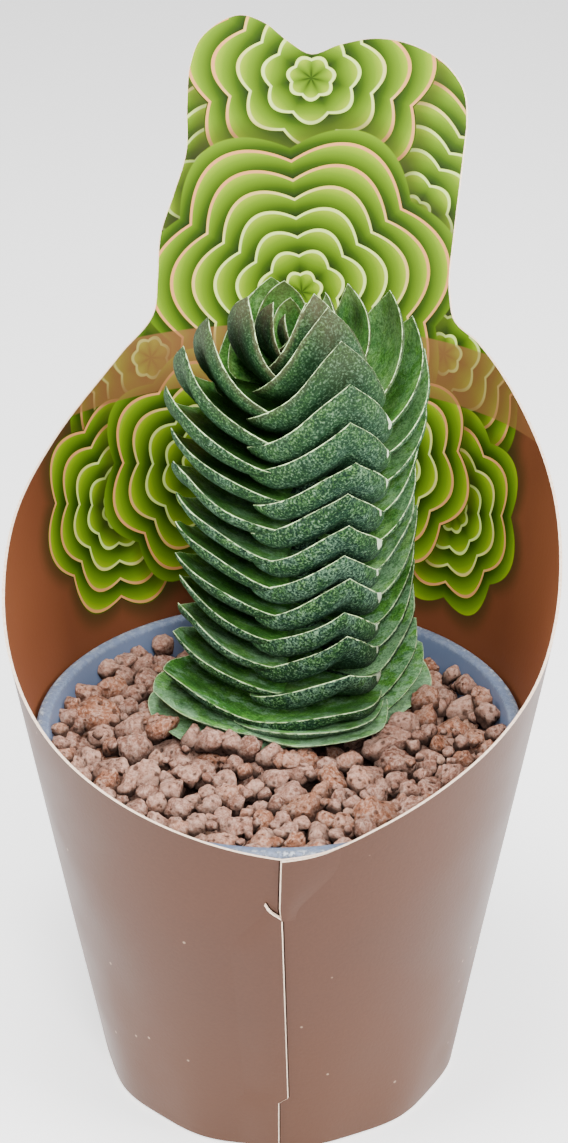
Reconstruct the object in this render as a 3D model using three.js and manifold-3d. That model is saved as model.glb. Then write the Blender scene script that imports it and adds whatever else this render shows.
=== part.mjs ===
// A potted Buddha's temple crassula in its card sleeve, in millimetres with +Z up.
// The origin is the centre of the pot's flat base. The low front of the sleeve faces -Y
// and its tall back panel stands at +Y. The plant is a square column of stacked leaves
// in four rows, a little behind the middle of the pot.
import * as THREE from 'three';
import { mergeVertices } from 'three/addons/utils/BufferGeometryUtils.js';
import Module from 'manifold-3d';

const wasm = await Module();
wasm.setup();

// Pot: a round thermoformed nursery pot.
const POT_HEIGHT = 69;
const POT_RIM_RADIUS = 42.3;
const POT_BASE_RADIUS = 29.6;
const POT_WALL = 1.3;
const POT_FLOOR = 1.6;
const RIM_BAND_HEIGHT = 7;
const RIM_BAND_STEP = 1.1;
const RIM_BAND_INSET = 0.1;
const RIM_ROUNDING = 0.6;
const BASE_ROUNDING = 1;
const POT_SIDES = 48;
const DRAIN_HOLES = 6;
const DRAIN_HOLE_RADIUS = 3;
const DRAIN_CIRCLE_RADIUS = 20;

// Sleeve: a card cone, open at both ends.
const CARD = 0.7;
const CONE_BASE_RADIUS = 32.4;
const CONE_TILT = THREE.MathUtils.degToRad(9.1);
const SLEEVE_FOOT = 0.8;
const SLEEVE_COLUMN_STEP = 5;
const LAP_WIDTH = 16;
const LAP_CARD = 0.7;
const NOTCH_HEIGHT = 57;
const NOTCH_HALF = 0.8;
const LAP_SETBACK = 0.4;

// Upper edge of the card: turn about the axis in degrees from the front, + towards +X,
// and the height of the edge there.
const FRONT_EDGE = [[-146, 119.8], [-126, 108.6], [-107, 100], [-92, 92.3], [-74, 84.6],
  [-58, 79.6], [-40, 75.6], [-22, 72.2], [-9, 70], [0.6, 68.6], [9, 69.6], [22, 73.4],
  [38, 78], [55, 82.6], [72, 87.6], [89, 96], [104, 105], [120, 114], [137, 123.6]];
const BACK_EDGE = [[143.6, 126.8], [144.8, 130], [145.2, 147], [145.6, 160], [147, 166],
  [150.4, 169.6], [155.5, 172.1], [163, 173.2], [169.6, 171.8], [174.5, 170.1], [178.4, 172.3],
  [182.6, 175.6], [186.6, 176.9], [190.4, 175.6], [193.6, 173], [195.4, 169], [196.4, 162],
  [197, 154], [200, 146.5], [203, 140], [204.4, 132], [205.6, 126.4]];

// Filling.
const FILL_GAP = 0.4;
const FILL_DRAFT = 0.3;
const SOIL_TOP = 50;
const BED_TOP = 59.4;
const STONE_PITCH = 6.9;
const STONE_RADIUS = 3.75;
const STONE_SPREAD = 0.7;
const STONE_JITTER = 2;
const STONE_TOP = 64.2;
const STONE_TOP_UNDER_LEAVES = 62.4;
const HIDDEN_UNDER_LEAVES = 7;

// Plant: a square column, whose four rows of leaf tips stand at its corners.
const PLANT_X = 3.3;
const PLANT_Y = 17.5;
const ROW_TURN = 22;
const STEM_RADIUS = 4;
const STEM_TIP_RADIUS = 1.6;
const STEM_SIDES = 6;
const STEM_FOOT = 33;
const PAIRS = 33;
const YOUNG_THICKNESS = 0.6;
const THICKNESS_PER_REACH = 0.11;
const WALL_CLEARANCE = 1.5;
const LEAST_THICKNESS = 0.9;
const REACH_VARIES = 0.02;
const RISE_VARIES = 0.03;
const ROW_WANDER = 2;
// The oldest leaves stand a little off the stem's axis, from one pair on and fully by another.
const FOOT_LEAN_X = -1.2;
const FOOT_LEAN_Y = -2.4;
const LEAN_FROM_PAIR = 26;
const LEAN_FULL_PAIR = 29;

// How each row of leaves differs from the mean. The front and back rows sit a little
// higher on the stem and are thicker, and the rows at the sides reach further, with longer
// lobes. Turn from the front row, lift, and shares of rise, reach, half width; thickness.
const ROWS = [
  { turn: 0, pairs: 1, lift: 0.55, rise: 1.04, reach: 1, width: 0.96, thickness: 2.9 },
  { turn: 90, pairs: 0, lift: -0.55, rise: 0.96, reach: 1.03, width: 1.08, thickness: 1.5 },
  { turn: 180, pairs: 1, lift: 0.55, rise: 0.88, reach: 0.95, width: 0.96, thickness: 2.9 },
  { turn: 270, pairs: 0, lift: -0.55, rise: 0.96, reach: 1.03, width: 1.08, thickness: 1.5 },
];

// How the leaf pairs change from the tip of the plant (pair 0) down to its foot. A blade
// leaves the stem flat and bends up along an arc. Each row gives the pair, the height of
// the leaf tip, its rise above the joint on the stem, the angle that the blade bends
// through in degrees, its greatest reach from the axis, its half width, the place of the
// side lobes as a share of its length, how hollow it is across, the tip's rounding, and
// the share of the full thickness.
const GROWTH = [
  [0, 138, 7, 130, 3, 3.2, 0.25, 0.1, 0, 1],
  [2, 141, 13, 132, 6, 6.3, 0.27, 0.06, 0.04, 1],
  [4, 142.8, 18, 128, 10.6, 9.5, 0.3, 0.045, 0.12, 1],
  [6, 140.4, 20, 117, 16.6, 12, 0.32, 0.03, 0.14, 1],
  [8, 135, 18.5, 103, 20.6, 13.4, 0.35, 0.02, 0.11, 1],
  [10, 128.6, 16, 82, 23, 13.4, 0.38, 0.016, 0.05, 1],
  [12, 121.6, 14, 68, 22.8, 13, 0.4, 0.014, 0.02, 1],
  [16, 109, 12.6, 64, 22, 12.4, 0.4, 0.014, 0, 1],
  [25, 85.3, 12.4, 62, 21.8, 12.4, 0.4, 0.014, 0, 1],
  [28, 76, 9.6, 48, 24, 13.2, 0.4, 0.01, 0.05, 0.65],
  [32, 66.4, 2.6, 14, 26.2, 15.4, 0.4, 0.008, 0.14, 0.35],
];

const lerp = THREE.MathUtils.lerp;
const rad = THREE.MathUtils.degToRad;

// The same sequence of numbers from 0 to 1 on every run.
function seeded(seed) {
  let state = seed;
  return () => {
    state = (state * 1664525 + 1013904223) % 4294967296;
    return state / 4294967296;
  };
}

// Straight-line reading of a list of [key, value, value, ...] rows at one key.
function readAlong(rows, key) {
  let upper = rows.findIndex((row) => row[0] >= key);
  upper = Math.max(upper, 1);
  const from = rows[upper - 1];
  const to = rows[upper];
  const share = (key - from[0]) / (to[0] - from[0]);
  return from.map((value, index) => lerp(value, to[index], share));
}

// A closed geometry becomes a solid that can be joined and cut.
function toSolid(geometry) {
  const bare = geometry.clone();
  bare.deleteAttribute('normal');
  bare.deleteAttribute('uv');
  const merged = mergeVertices(bare, 1e-4);
  const mesh = new wasm.Mesh({
    numProp: 3,
    vertProperties: new Float32Array(merged.attributes.position.array),
    triVerts: new Uint32Array(merged.index.array),
  });
  return new wasm.Manifold(mesh);
}

// Joins solids into one body. A hollow that the join seals is filled, and a loose scrap
// is dropped, by keeping only the largest closed skin.
function joinAll(solids) {
  const skins = wasm.Manifold.union(solids).decompose();
  return skins.reduce((largest, skin) => (skin.volume() > largest.volume() ? skin : largest));
}

function toGeometry(solid) {
  const mesh = solid.getMesh();
  const geometry = new THREE.BufferGeometry();
  geometry.setAttribute('position', new THREE.BufferAttribute(mesh.vertProperties, 3));
  geometry.setIndex(new THREE.BufferAttribute(mesh.triVerts, 1));
  geometry.computeVertexNormals();
  return geometry;
}

// A geometry from a list of points and a list of triangles.
function fromLists(points, triangles) {
  const geometry = new THREE.BufferGeometry();
  geometry.setAttribute('position', new THREE.Float32BufferAttribute(points.flat(), 3));
  geometry.setIndex(triangles.flat());
  return geometry;
}

// A turned body: the profile is a list of [radius, height], turned about Z.
function turned(profile, sides) {
  const points = profile.map(([radius, height]) => new THREE.Vector2(radius, height));
  const geometry = new THREE.LatheGeometry(points, sides);
  return geometry.rotateX(Math.PI / 2);
}

function upright(radius, bottom, top, sides, x, y) {
  const geometry = new THREE.CylinderGeometry(radius, radius, top - bottom, sides);
  geometry.rotateX(Math.PI / 2);
  return geometry.translate(x, y, (top + bottom) / 2);
}

// Inner radius of the pot at a height.
function potInside(height) {
  return lerp(POT_BASE_RADIUS, POT_RIM_RADIUS - RIM_BAND_STEP, height / POT_HEIGHT) - POT_WALL;
}

function makePot() {
  const bandFoot = POT_HEIGHT - RIM_BAND_HEIGHT;
  const wallAtBand = potInside(bandFoot) + POT_WALL;
  const profile = [
    [0, 0],
    [POT_BASE_RADIUS - BASE_ROUNDING, 0],
    [POT_BASE_RADIUS, BASE_ROUNDING],
    [wallAtBand, bandFoot - RIM_BAND_STEP],
    [POT_RIM_RADIUS - RIM_BAND_HEIGHT * Math.tan(CONE_TILT) - RIM_BAND_INSET, bandFoot],
    [POT_RIM_RADIUS, POT_HEIGHT - RIM_ROUNDING],
    [POT_RIM_RADIUS - RIM_ROUNDING, POT_HEIGHT],
    [potInside(POT_HEIGHT) + RIM_ROUNDING, POT_HEIGHT],
    [potInside(POT_HEIGHT), POT_HEIGHT - RIM_ROUNDING],
    [potInside(POT_FLOOR), POT_FLOOR],
    [0, POT_FLOOR],
  ];
  let pot = toSolid(turned(profile, POT_SIDES));
  for (let hole = 0; hole < DRAIN_HOLES; hole += 1) {
    const turn = (hole / DRAIN_HOLES) * 2 * Math.PI;
    const x = DRAIN_CIRCLE_RADIUS * Math.cos(turn);
    const y = DRAIN_CIRCLE_RADIUS * Math.sin(turn);
    pot = pot.subtract(toSolid(upright(DRAIN_HOLE_RADIUS, -2, POT_FLOOR + 2, 12, x, y)));
  }
  return toGeometry(pot);
}

function makeSoil() {
  const profile = [
    [0, POT_FLOOR + FILL_GAP],
    [potInside(POT_FLOOR) - FILL_GAP - 2 * FILL_DRAFT, POT_FLOOR + FILL_GAP],
    [potInside(SOIL_TOP) - FILL_GAP - FILL_DRAFT, SOIL_TOP],
    [0, SOIL_TOP],
  ];
  const hole = upright(STEM_RADIUS + 2 * FILL_GAP, STEM_FOOT - FILL_GAP, SOIL_TOP + 2, 16, PLANT_X, PLANT_Y);
  return toGeometry(toSolid(turned(profile, 40)).subtract(toSolid(hole)));
}

// Where the axis of a pair of leaves stands.
function pairCentre(pair) {
  const lean = THREE.MathUtils.clamp((pair - LEAN_FROM_PAIR) / (LEAN_FULL_PAIR - LEAN_FROM_PAIR), 0, 1);
  return [PLANT_X + lean * FOOT_LEAN_X, PLANT_Y + lean * FOOT_LEAN_Y];
}

// How far a spot lies outside the square that the lowest leaves cover, in millimetres.
function outsideLeaves(x, y) {
  const turn = rad(ROW_TURN);
  const [centreX, centreY] = pairCentre(PAIRS - 1);
  const along = (x - centreX) * Math.sin(turn) - (y - centreY) * Math.cos(turn);
  const across = (x - centreX) * Math.cos(turn) + (y - centreY) * Math.sin(turn);
  const reach = GROWTH.at(-1)[4];
  return (Math.abs(along) + Math.abs(across) - reach) / Math.SQRT2;
}

// One broken lava stone: a twenty-sided lump whose corners are pushed in and out.
function makeStone(random, radius) {
  const geometry = new THREE.IcosahedronGeometry(1, 0);
  geometry.deleteAttribute('normal');
  geometry.deleteAttribute('uv');
  const stone = mergeVertices(geometry, 1e-4);
  const spots = stone.attributes.position;
  for (let index = 0; index < spots.count; index += 1) {
    const push = 0.91 + 0.18 * random();
    spots.setXYZ(index, spots.getX(index) * push, spots.getY(index) * push, spots.getZ(index) * push);
  }
  stone.rotateX(random() * Math.PI);
  stone.rotateZ(random() * Math.PI);
  return stone.scale(radius * (0.9 + 0.3 * random()), radius * 0.92, radius * (0.72 + 0.2 * random()));
}

function makeGravel() {
  const random = seeded(41);
  const bed = turned([
    [0, SOIL_TOP + FILL_GAP],
    [potInside(SOIL_TOP) - FILL_GAP - FILL_DRAFT, SOIL_TOP + FILL_GAP],
    [potInside(BED_TOP) - FILL_GAP - FILL_DRAFT, BED_TOP],
    [0, BED_TOP],
  ], 32);
  const pieces = [toSolid(bed)];
  const rowGap = STONE_PITCH * Math.sqrt(3) / 2;
  const rows = Math.ceil(POT_RIM_RADIUS / rowGap);
  for (let row = -rows; row <= rows; row += 1) {
    for (let place = -rows - 2; place <= rows + 2; place += 1) {
      const radius = STONE_RADIUS + STONE_SPREAD * (random() - 0.5);
      const x = (place + 0.5 * (row & 1)) * STONE_PITCH + STONE_JITTER * (random() - 0.5);
      const y = row * rowGap + STONE_JITTER * (random() - 0.5);
      const stone = makeStone(random, radius);
      const lift = STONE_JITTER * (random() - 0.5);
      stone.rotateZ(random() * Math.PI);
      stone.computeBoundingBox();
      const span = stone.boundingBox;
      const reach = Math.max(span.max.x, -span.min.x, span.max.y, -span.min.y) * 1.1;
      const clear = outsideLeaves(x, y);
      const wall = potInside(BED_TOP) - FILL_GAP;
      if (clear < -HIDDEN_UNDER_LEAVES || Math.hypot(x, y) > wall - STONE_RADIUS / 2) {
        continue;
      }
      const pull = Math.min(1, (wall - reach) / Math.hypot(x, y));
      const near = outsideLeaves(x * pull, y * pull) < reach + 0.6;
      const top = near ? STONE_TOP_UNDER_LEAVES : STONE_TOP + lift;
      stone.translate(x * pull, y * pull, top - span.max.z);
      pieces.push(toSolid(stone));
    }
  }
  const hole = upright(STEM_RADIUS + 2 * FILL_GAP, SOIL_TOP - 2, STONE_TOP + 6, 16, PLANT_X, PLANT_Y);
  return toGeometry(joinAll(pieces).subtract(toSolid(hole)));
}

// Columns of a leaf from its tip, 0, to a side lobe, 1, and round the lobe to the sharp
// trailing edge: place along the side, share of the half width, and fullness of the blade.
const LEAF_COLUMNS = [[0, 0, 0.45], [0.36, 0.48, 0.9], [0.8, 0.87, 1], [1.02, 1, 0.65], [1.18, 0.96, 0]];
// Rows of points from the sharp edge, 1, in towards the stem, 0.
const ROWS_ABOVE = [1, 0.66];
const ROWS_BELOW = [1, 0.9, 0.66];
const EDGE_ROUNDING = 0.2;
const THIN_AT_STEM = 0.55;

// One leaf as a closed body: a flat upper face and a full, rounded lower face that meet in
// the sharp edge. Both faces run in to one point each on the stem's axis.
function makeLeaf(leaf) {
  const points = [];
  const side = LEAF_COLUMNS.length - 1;
  const lastColumn = 2 * side;
  const bend = rad(leaf.curl);
  const arcReach = leaf.reach / Math.sin(Math.min(bend, Math.PI / 2));
  const arcRise = leaf.rise / (1 - Math.cos(bend));

  // Edge of the flat, unrolled leaf: share of its length, and millimetres across.
  function edgeSpot(column) {
    const [place, width] = LEAF_COLUMNS[Math.abs(column - side)];
    const roundedOff = place > 0 ? leaf.blunt * (1 - place) : 0;
    const length = 1 - (1 - leaf.lobe) * place + roundedOff;
    return [length, Math.sign(column - side) * leaf.halfWidth * width];
  }

  // Thickness at a column and row: it grows from nothing at the edge like a quarter circle.
  function thickness(column, row) {
    const inward = 1 - row;
    const full = leaf.thickness * LEAF_COLUMNS[Math.abs(column - side)][2];
    if (inward < EDGE_ROUNDING) {
      return full * Math.sqrt(1 - Math.pow(1 - inward / EDGE_ROUNDING, 2));
    }
    return full * lerp(1, THIN_AT_STEM, (inward - EDGE_ROUNDING) / (1 - EDGE_ROUNDING));
  }

  // Adds the point at a share of the bend and a distance across. The normal points to the
  // upper face, and the blade is hollowed by lifting its sides along it.
  function addSpot(share, across, depth) {
    const angle = bend * share;
    const length = Math.hypot(arcRise * Math.sin(angle), arcReach * Math.cos(angle));
    const normalOut = -arcRise * Math.sin(angle) / length;
    const normalUp = arcReach * Math.cos(angle) / length;
    const lift = leaf.hollow * across * across / 2 - depth;
    points.push([
      arcReach * Math.sin(angle) + normalOut * lift,
      across,
      arcRise * (1 - Math.cos(angle)) + normalUp * lift,
    ]);
    return points.length - 1;
  }

  const above = [];
  const below = [];
  for (let column = 0; column <= lastColumn; column += 1) {
    const [share, across] = edgeSpot(column);
    const isSide = column === 0 || column === lastColumn;
    const upper = ROWS_ABOVE.map((row) => addSpot(share * row, across * row, 0));
    above.push(upper);
    below.push(ROWS_BELOW.map((row) => {
      if (row === 1 || (isSide && row > ROWS_ABOVE[1])) {
        return upper[0];
      }
      if (isSide) {
        return upper[ROWS_ABOVE.indexOf(row)];
      }
      return addSpot(share * row, across * row, thickness(column, row));
    }));
  }
  const heartAbove = addSpot(0, 0, 0);
  const heartBelow = addSpot(0, 0, leaf.thickness * THIN_AT_STEM);

  const triangles = [];
  function addTriangle(a, b, c) {
    if (a !== b && b !== c && c !== a) {
      triangles.push([a, b, c]);
    }
  }
  function addFace(rows, heart, facesUp) {
    for (let column = 0; column < lastColumn; column += 1) {
      const left = rows[facesUp ? column : column + 1];
      const right = rows[facesUp ? column + 1 : column];
      const last = left.length - 1;
      for (let row = 0; row < last; row += 1) {
        addTriangle(left[row], right[row], left[row + 1]);
        addTriangle(right[row], right[row + 1], left[row + 1]);
      }
      addTriangle(left[last], right[last], heart);
    }
  }
  addFace(above, heartAbove, true);
  addFace(below, heartBelow, false);
  addTriangle(above[0].at(-1), heartAbove, heartBelow);
  addTriangle(above[lastColumn].at(-1), heartBelow, heartAbove);
  return fromLists(points, triangles);
}

// How far a leaf can reach from its own axis before it comes near the pot's wall.
function roomToWall(turn, [centreX, centreY]) {
  const along = centreX * Math.sin(rad(turn)) - centreY * Math.cos(rad(turn));
  const limit = potInside(STONE_TOP) - WALL_CLEARANCE;
  const offset = Math.hypot(centreX, centreY);
  return Math.sqrt(limit * limit - offset * offset + along * along) - along;
}

// The whole plant: every pair stands a quarter turn from the next, and all leaves are
// joined to the stem that runs down into the soil.
function makeLeafyStem() {
  const random = seeded(7);
  const vary = (amount) => 1 + amount * (2 * random() - 1);
  const [, topTip, topRise] = GROWTH[0];
  const [, shoulderTip, shoulderRise] = readAlong(GROWTH, 12);
  const stem = turned([
    [0, STEM_FOOT],
    [STEM_RADIUS, STEM_FOOT],
    [STEM_RADIUS, shoulderTip - shoulderRise],
    [STEM_TIP_RADIUS, topTip - topRise],
    [0, topTip - topRise + 1],
  ], STEM_SIDES);
  stem.translate(PLANT_X, PLANT_Y, 0);
  const pieces = [toSolid(stem)];
  for (let pair = 0; pair < PAIRS; pair += 1) {
    const [, tip, rise, curl, reach, halfWidth, lobe, hollow, blunt, full] = readAlong(GROWTH, pair);
    const centre = pairCentre(pair);
    for (const row of ROWS.filter(({ pairs }) => pairs === pair % 2)) {
      const turn = ROW_TURN + row.turn + ROW_WANDER * (2 * random() - 1);
      const thickness = Math.min(row.thickness, YOUNG_THICKNESS + THICKNESS_PER_REACH * reach);
      const geometry = makeLeaf({
        curl,
        lobe,
        hollow,
        blunt,
        reach: Math.min(reach * row.reach * vary(REACH_VARIES), roomToWall(turn, centre)),
        rise: rise * row.rise * vary(RISE_VARIES),
        halfWidth: halfWidth * row.width,
        thickness: Math.max(LEAST_THICKNESS, thickness * full),
      });
      geometry.rotateZ(rad(turn - 90));
      geometry.translate(...centre, tip - rise + row.lift);
      pieces.push(toSolid(geometry));
    }
  }
  return toGeometry(joinAll(pieces));
}

// Outer radius of the card at a height.
function cone(height) {
  return CONE_BASE_RADIUS + height * Math.tan(CONE_TILT);
}

// A curved wall from columns of [turn in degrees, foot height, top height, depth of the
// inner face and height of the outer face off the cone]. A ring joins its last column to
// its first, and an open strip is closed at both ends.
function wall(columns, isRing) {
  const points = [];
  for (const [turn, foot, top, inner, outer] of columns) {
    for (const [height, offset] of [[foot, inner], [foot, outer], [top, outer], [top, inner]]) {
      const radius = cone(height) + offset;
      points.push([radius * Math.sin(rad(turn)), -radius * Math.cos(rad(turn)), height]);
    }
  }
  const triangles = [];
  const spans = isRing ? columns.length : columns.length - 1;
  for (let column = 0; column < spans; column += 1) {
    const here = 4 * column;
    const next = 4 * ((column + 1) % columns.length);
    for (let corner = 0; corner < 4; corner += 1) {
      const after = (corner + 1) % 4;
      triangles.push([here + corner, next + corner, next + after]);
      triangles.push([here + corner, next + after, here + after]);
    }
  }
  if (!isRing) {
    const end = 4 * (columns.length - 1);
    triangles.push([0, 1, 2], [0, 2, 3]);
    triangles.push([end, end + 2, end + 1], [end, end + 3, end + 2]);
  }
  return fromLists(points, triangles);
}

// Height of the card's upper edge at a turn between -146 and 205.6 degrees.
function edgeHeight(turn) {
  const rows = [...FRONT_EDGE, ...BACK_EDGE];
  return readAlong(rows, turn)[1];
}

function makeSleeve() {
  const turns = new Set([...FRONT_EDGE, ...BACK_EDGE].map(([turn]) => turn));
  const start = FRONT_EDGE[0][0];
  const end = BACK_EDGE[BACK_EDGE.length - 1][0];
  for (let turn = start; turn < end; turn += SLEEVE_COLUMN_STEP) {
    const crowded = [...turns].some((other) => Math.abs(other - turn) < SLEEVE_COLUMN_STEP / 2);
    if (!crowded) {
      turns.add(turn);
    }
  }
  const columns = [...turns].sort((a, b) => a - b)
    .map((turn) => [turn, SLEEVE_FOOT, edgeHeight(turn), -CARD, 0]);
  const shell = toSolid(wall(columns, true));
  return toGeometry(shell
    .add(toSolid(wall(lapColumns(1, NOTCH_HEIGHT + NOTCH_HALF, null), false)))
    .add(toSolid(wall(lapColumns(-1, SLEEVE_FOOT + LAP_SETBACK, NOTCH_HEIGHT - NOTCH_HALF), false))));
}

// The flap that lies on top at the seam: thick at the seam line, it sinks into the card
// over its width. Above the notch it is the right flap, below the notch the left one.
function lapColumns(side, foot, top) {
  const seam = FRONT_EDGE.find(([turn]) => turn > 0)[0];
  const columns = [];
  for (let step = 0; step <= 4; step += 1) {
    const share = step / 4;
    const turn = seam + side * share * LAP_WIDTH;
    const outer = lerp(LAP_CARD, -0.2, share);
    columns.push([turn, foot, top ?? edgeHeight(turn) - LAP_SETBACK, -CARD / 2, outer]);
  }
  return columns.sort((a, b) => a[0] - b[0]);
}

// Finish: [name, builder, colour, roughness].
const PARTS = [
  ['pot', makePot, 0x8291a8, 0.5],
  ['potting_soil', makeSoil, 0x3a2a20, 1],
  ['gravel', makeGravel, 0x9a7264, 0.95],
  ['leafy_stem', makeLeafyStem, 0x3f7a45, 0.6],
  ['sleeve', makeSleeve, 0x8d6c5c, 0.6],
];

const group = new THREE.Group();
for (const [name, build, color, roughness] of PARTS) {
  const material = new THREE.MeshStandardMaterial({ color, roughness, metalness: 0 });
  const mesh = new THREE.Mesh(build(), material);
  mesh.name = name;
  group.add(mesh);
}

export default group;
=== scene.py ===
# %% [markdown]
# # A potted Buddha's temple crassula in its card sleeve
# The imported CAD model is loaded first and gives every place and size. The plant, the
# gravel, the pot and the card are then made again as fine surfaces in the same places,
# each from a formula, and get their finishes. All lengths are in metres, with +Z up, and
# the low front of the card faces -Y.

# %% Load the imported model
import math

import bpy
import numpy as np
from mathutils import Matrix, Vector


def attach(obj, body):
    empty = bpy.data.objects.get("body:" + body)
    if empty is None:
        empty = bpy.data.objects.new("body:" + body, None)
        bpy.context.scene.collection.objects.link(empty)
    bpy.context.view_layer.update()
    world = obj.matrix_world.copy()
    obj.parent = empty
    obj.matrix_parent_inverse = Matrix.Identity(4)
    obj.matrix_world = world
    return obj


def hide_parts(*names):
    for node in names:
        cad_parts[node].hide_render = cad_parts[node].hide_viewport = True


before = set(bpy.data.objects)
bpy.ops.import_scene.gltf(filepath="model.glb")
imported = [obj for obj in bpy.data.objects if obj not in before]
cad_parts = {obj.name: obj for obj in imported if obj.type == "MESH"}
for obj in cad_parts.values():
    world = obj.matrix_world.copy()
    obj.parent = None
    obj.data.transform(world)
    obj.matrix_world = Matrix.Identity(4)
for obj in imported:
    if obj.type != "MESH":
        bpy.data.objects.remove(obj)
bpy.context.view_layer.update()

MM = 0.001

# %% [markdown]
# ## Three helpers for surfaces
# Every shape below is a grid of points worked out with numpy. The first helper draws a
# smooth line through a few measured points. The second gives a grid of points two faces
# and the edges between them, so that a sheet becomes one closed body. The third puts the
# points and faces into a Blender mesh.

# %% A smooth line through given points
def smooth_path(points, count):
    """count points, evenly spaced along a smooth line through the given points.

    Between two given points the line is a cubic in the distance gone. Its direction at
    each given point is the slope from its neighbours, weighted by how near they are.
    """
    points = np.asarray(points, float)
    gaps = np.linalg.norm(np.diff(points, axis=0), axis=1)
    place = np.concatenate([[0], np.cumsum(gaps)])
    slope = np.gradient(points, place, axis=0)
    at = np.linspace(0, place[-1], count)
    left = np.clip(np.searchsorted(place, at, side="right") - 1, 0, len(gaps) - 1)
    gap = gaps[left][:, None]
    t = ((at - place[left]) / gaps[left])[:, None]
    return ((2 * t**3 - 3 * t**2 + 1) * points[left] + (t**3 - 2 * t**2 + t) * gap * slope[left]
            + (3 * t**2 - 2 * t**3) * points[left + 1] + (t**3 - t**2) * gap * slope[left + 1])


def smooth_step(x):
    """0 below 0, 1 above 1, and 3x^2 - 2x^3 between."""
    x = np.clip(x, 0, 1)
    return x * x * (3 - 2 * x)


# %% A sheet with two faces as one closed body
def thick_sheet(outer, inner, closed):
    """Points, quads and a face number for each quad, of the body between two grids.

    outer and inner are grids of points, rows upwards and columns to the right as seen
    from outside. The face numbers are 0 outside, 1 inside and 2 on the cut edges. A closed
    sheet joins its last column to its first.
    """
    rows, columns = outer.shape[:2]
    front = np.arange(rows * columns).reshape(rows, columns)
    back = front + rows * columns
    here = np.arange(columns if closed else columns - 1)
    after = (here + 1) % columns

    def quads(a, b, c, d):
        return np.stack([a, b, c, d], axis=-1).reshape(-1, 4)

    groups = [
        (0, quads(front[:-1, here], front[:-1, after], front[1:, after], front[1:, here])),
        (1, quads(back[:-1, here], back[1:, here], back[1:, after], back[:-1, after])),
        (2, quads(front[-1, here], front[-1, after], back[-1, after], back[-1, here])),
        (2, quads(front[0, after], front[0, here], back[0, here], back[0, after])),
    ]
    if not closed:
        groups.append((2, quads(front[1:, 0], back[1:, 0], back[:-1, 0], front[:-1, 0])))
        groups.append((2, quads(front[:-1, -1], back[:-1, -1], back[1:, -1], front[1:, -1])))
    numbers = np.concatenate([np.full(len(group), number) for number, group in groups])
    points = np.concatenate([outer.reshape(-1, 3), inner.reshape(-1, 3)])
    return points, np.concatenate([group for _, group in groups]), numbers


# %% From points to a Blender piece
def new_piece(name, points, faces, materials, numbers=None, sharp_angle=50):
    """A mesh object at the origin that rides on the one body, root.

    faces is a list of corner lists, numbers picks each face's material, and edges sharper
    than sharp_angle degrees stay crisp.
    """
    mesh = bpy.data.meshes.new(name)
    mesh.from_pydata(np.asarray(points).tolist(), [], [list(face) for face in faces])
    for material in materials:
        mesh.materials.append(material)
    if numbers is not None:
        mesh.polygons.foreach_set("material_index", np.asarray(numbers, np.int32))
    mesh.polygons.foreach_set("use_smooth", np.ones(len(mesh.polygons), bool))
    mesh.set_sharp_from_angle(angle=math.radians(sharp_angle))
    mesh.update()
    piece = bpy.data.objects.new(name, mesh)
    bpy.context.scene.collection.objects.link(piece)
    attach(piece, "root")
    print(f"{name}: {len(points)} points, {len(faces)} faces")
    return piece


def give_number(piece, name, values):
    """Stores one number for each point of the mesh, for the materials to read."""
    layer = piece.data.attributes.new(name, "FLOAT", "POINT")
    layer.data.foreach_set("value", np.asarray(values, np.float32))


# %% [markdown]
# ## A short way to write materials
# A material is a net of nodes. These helpers add one node each, set its plain values and
# join its inputs, so that a finish below reads as a few lines of arithmetic: noise gives
# an uneven number, ramp turns a number into a colour, and bump turns it into relief.

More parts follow.
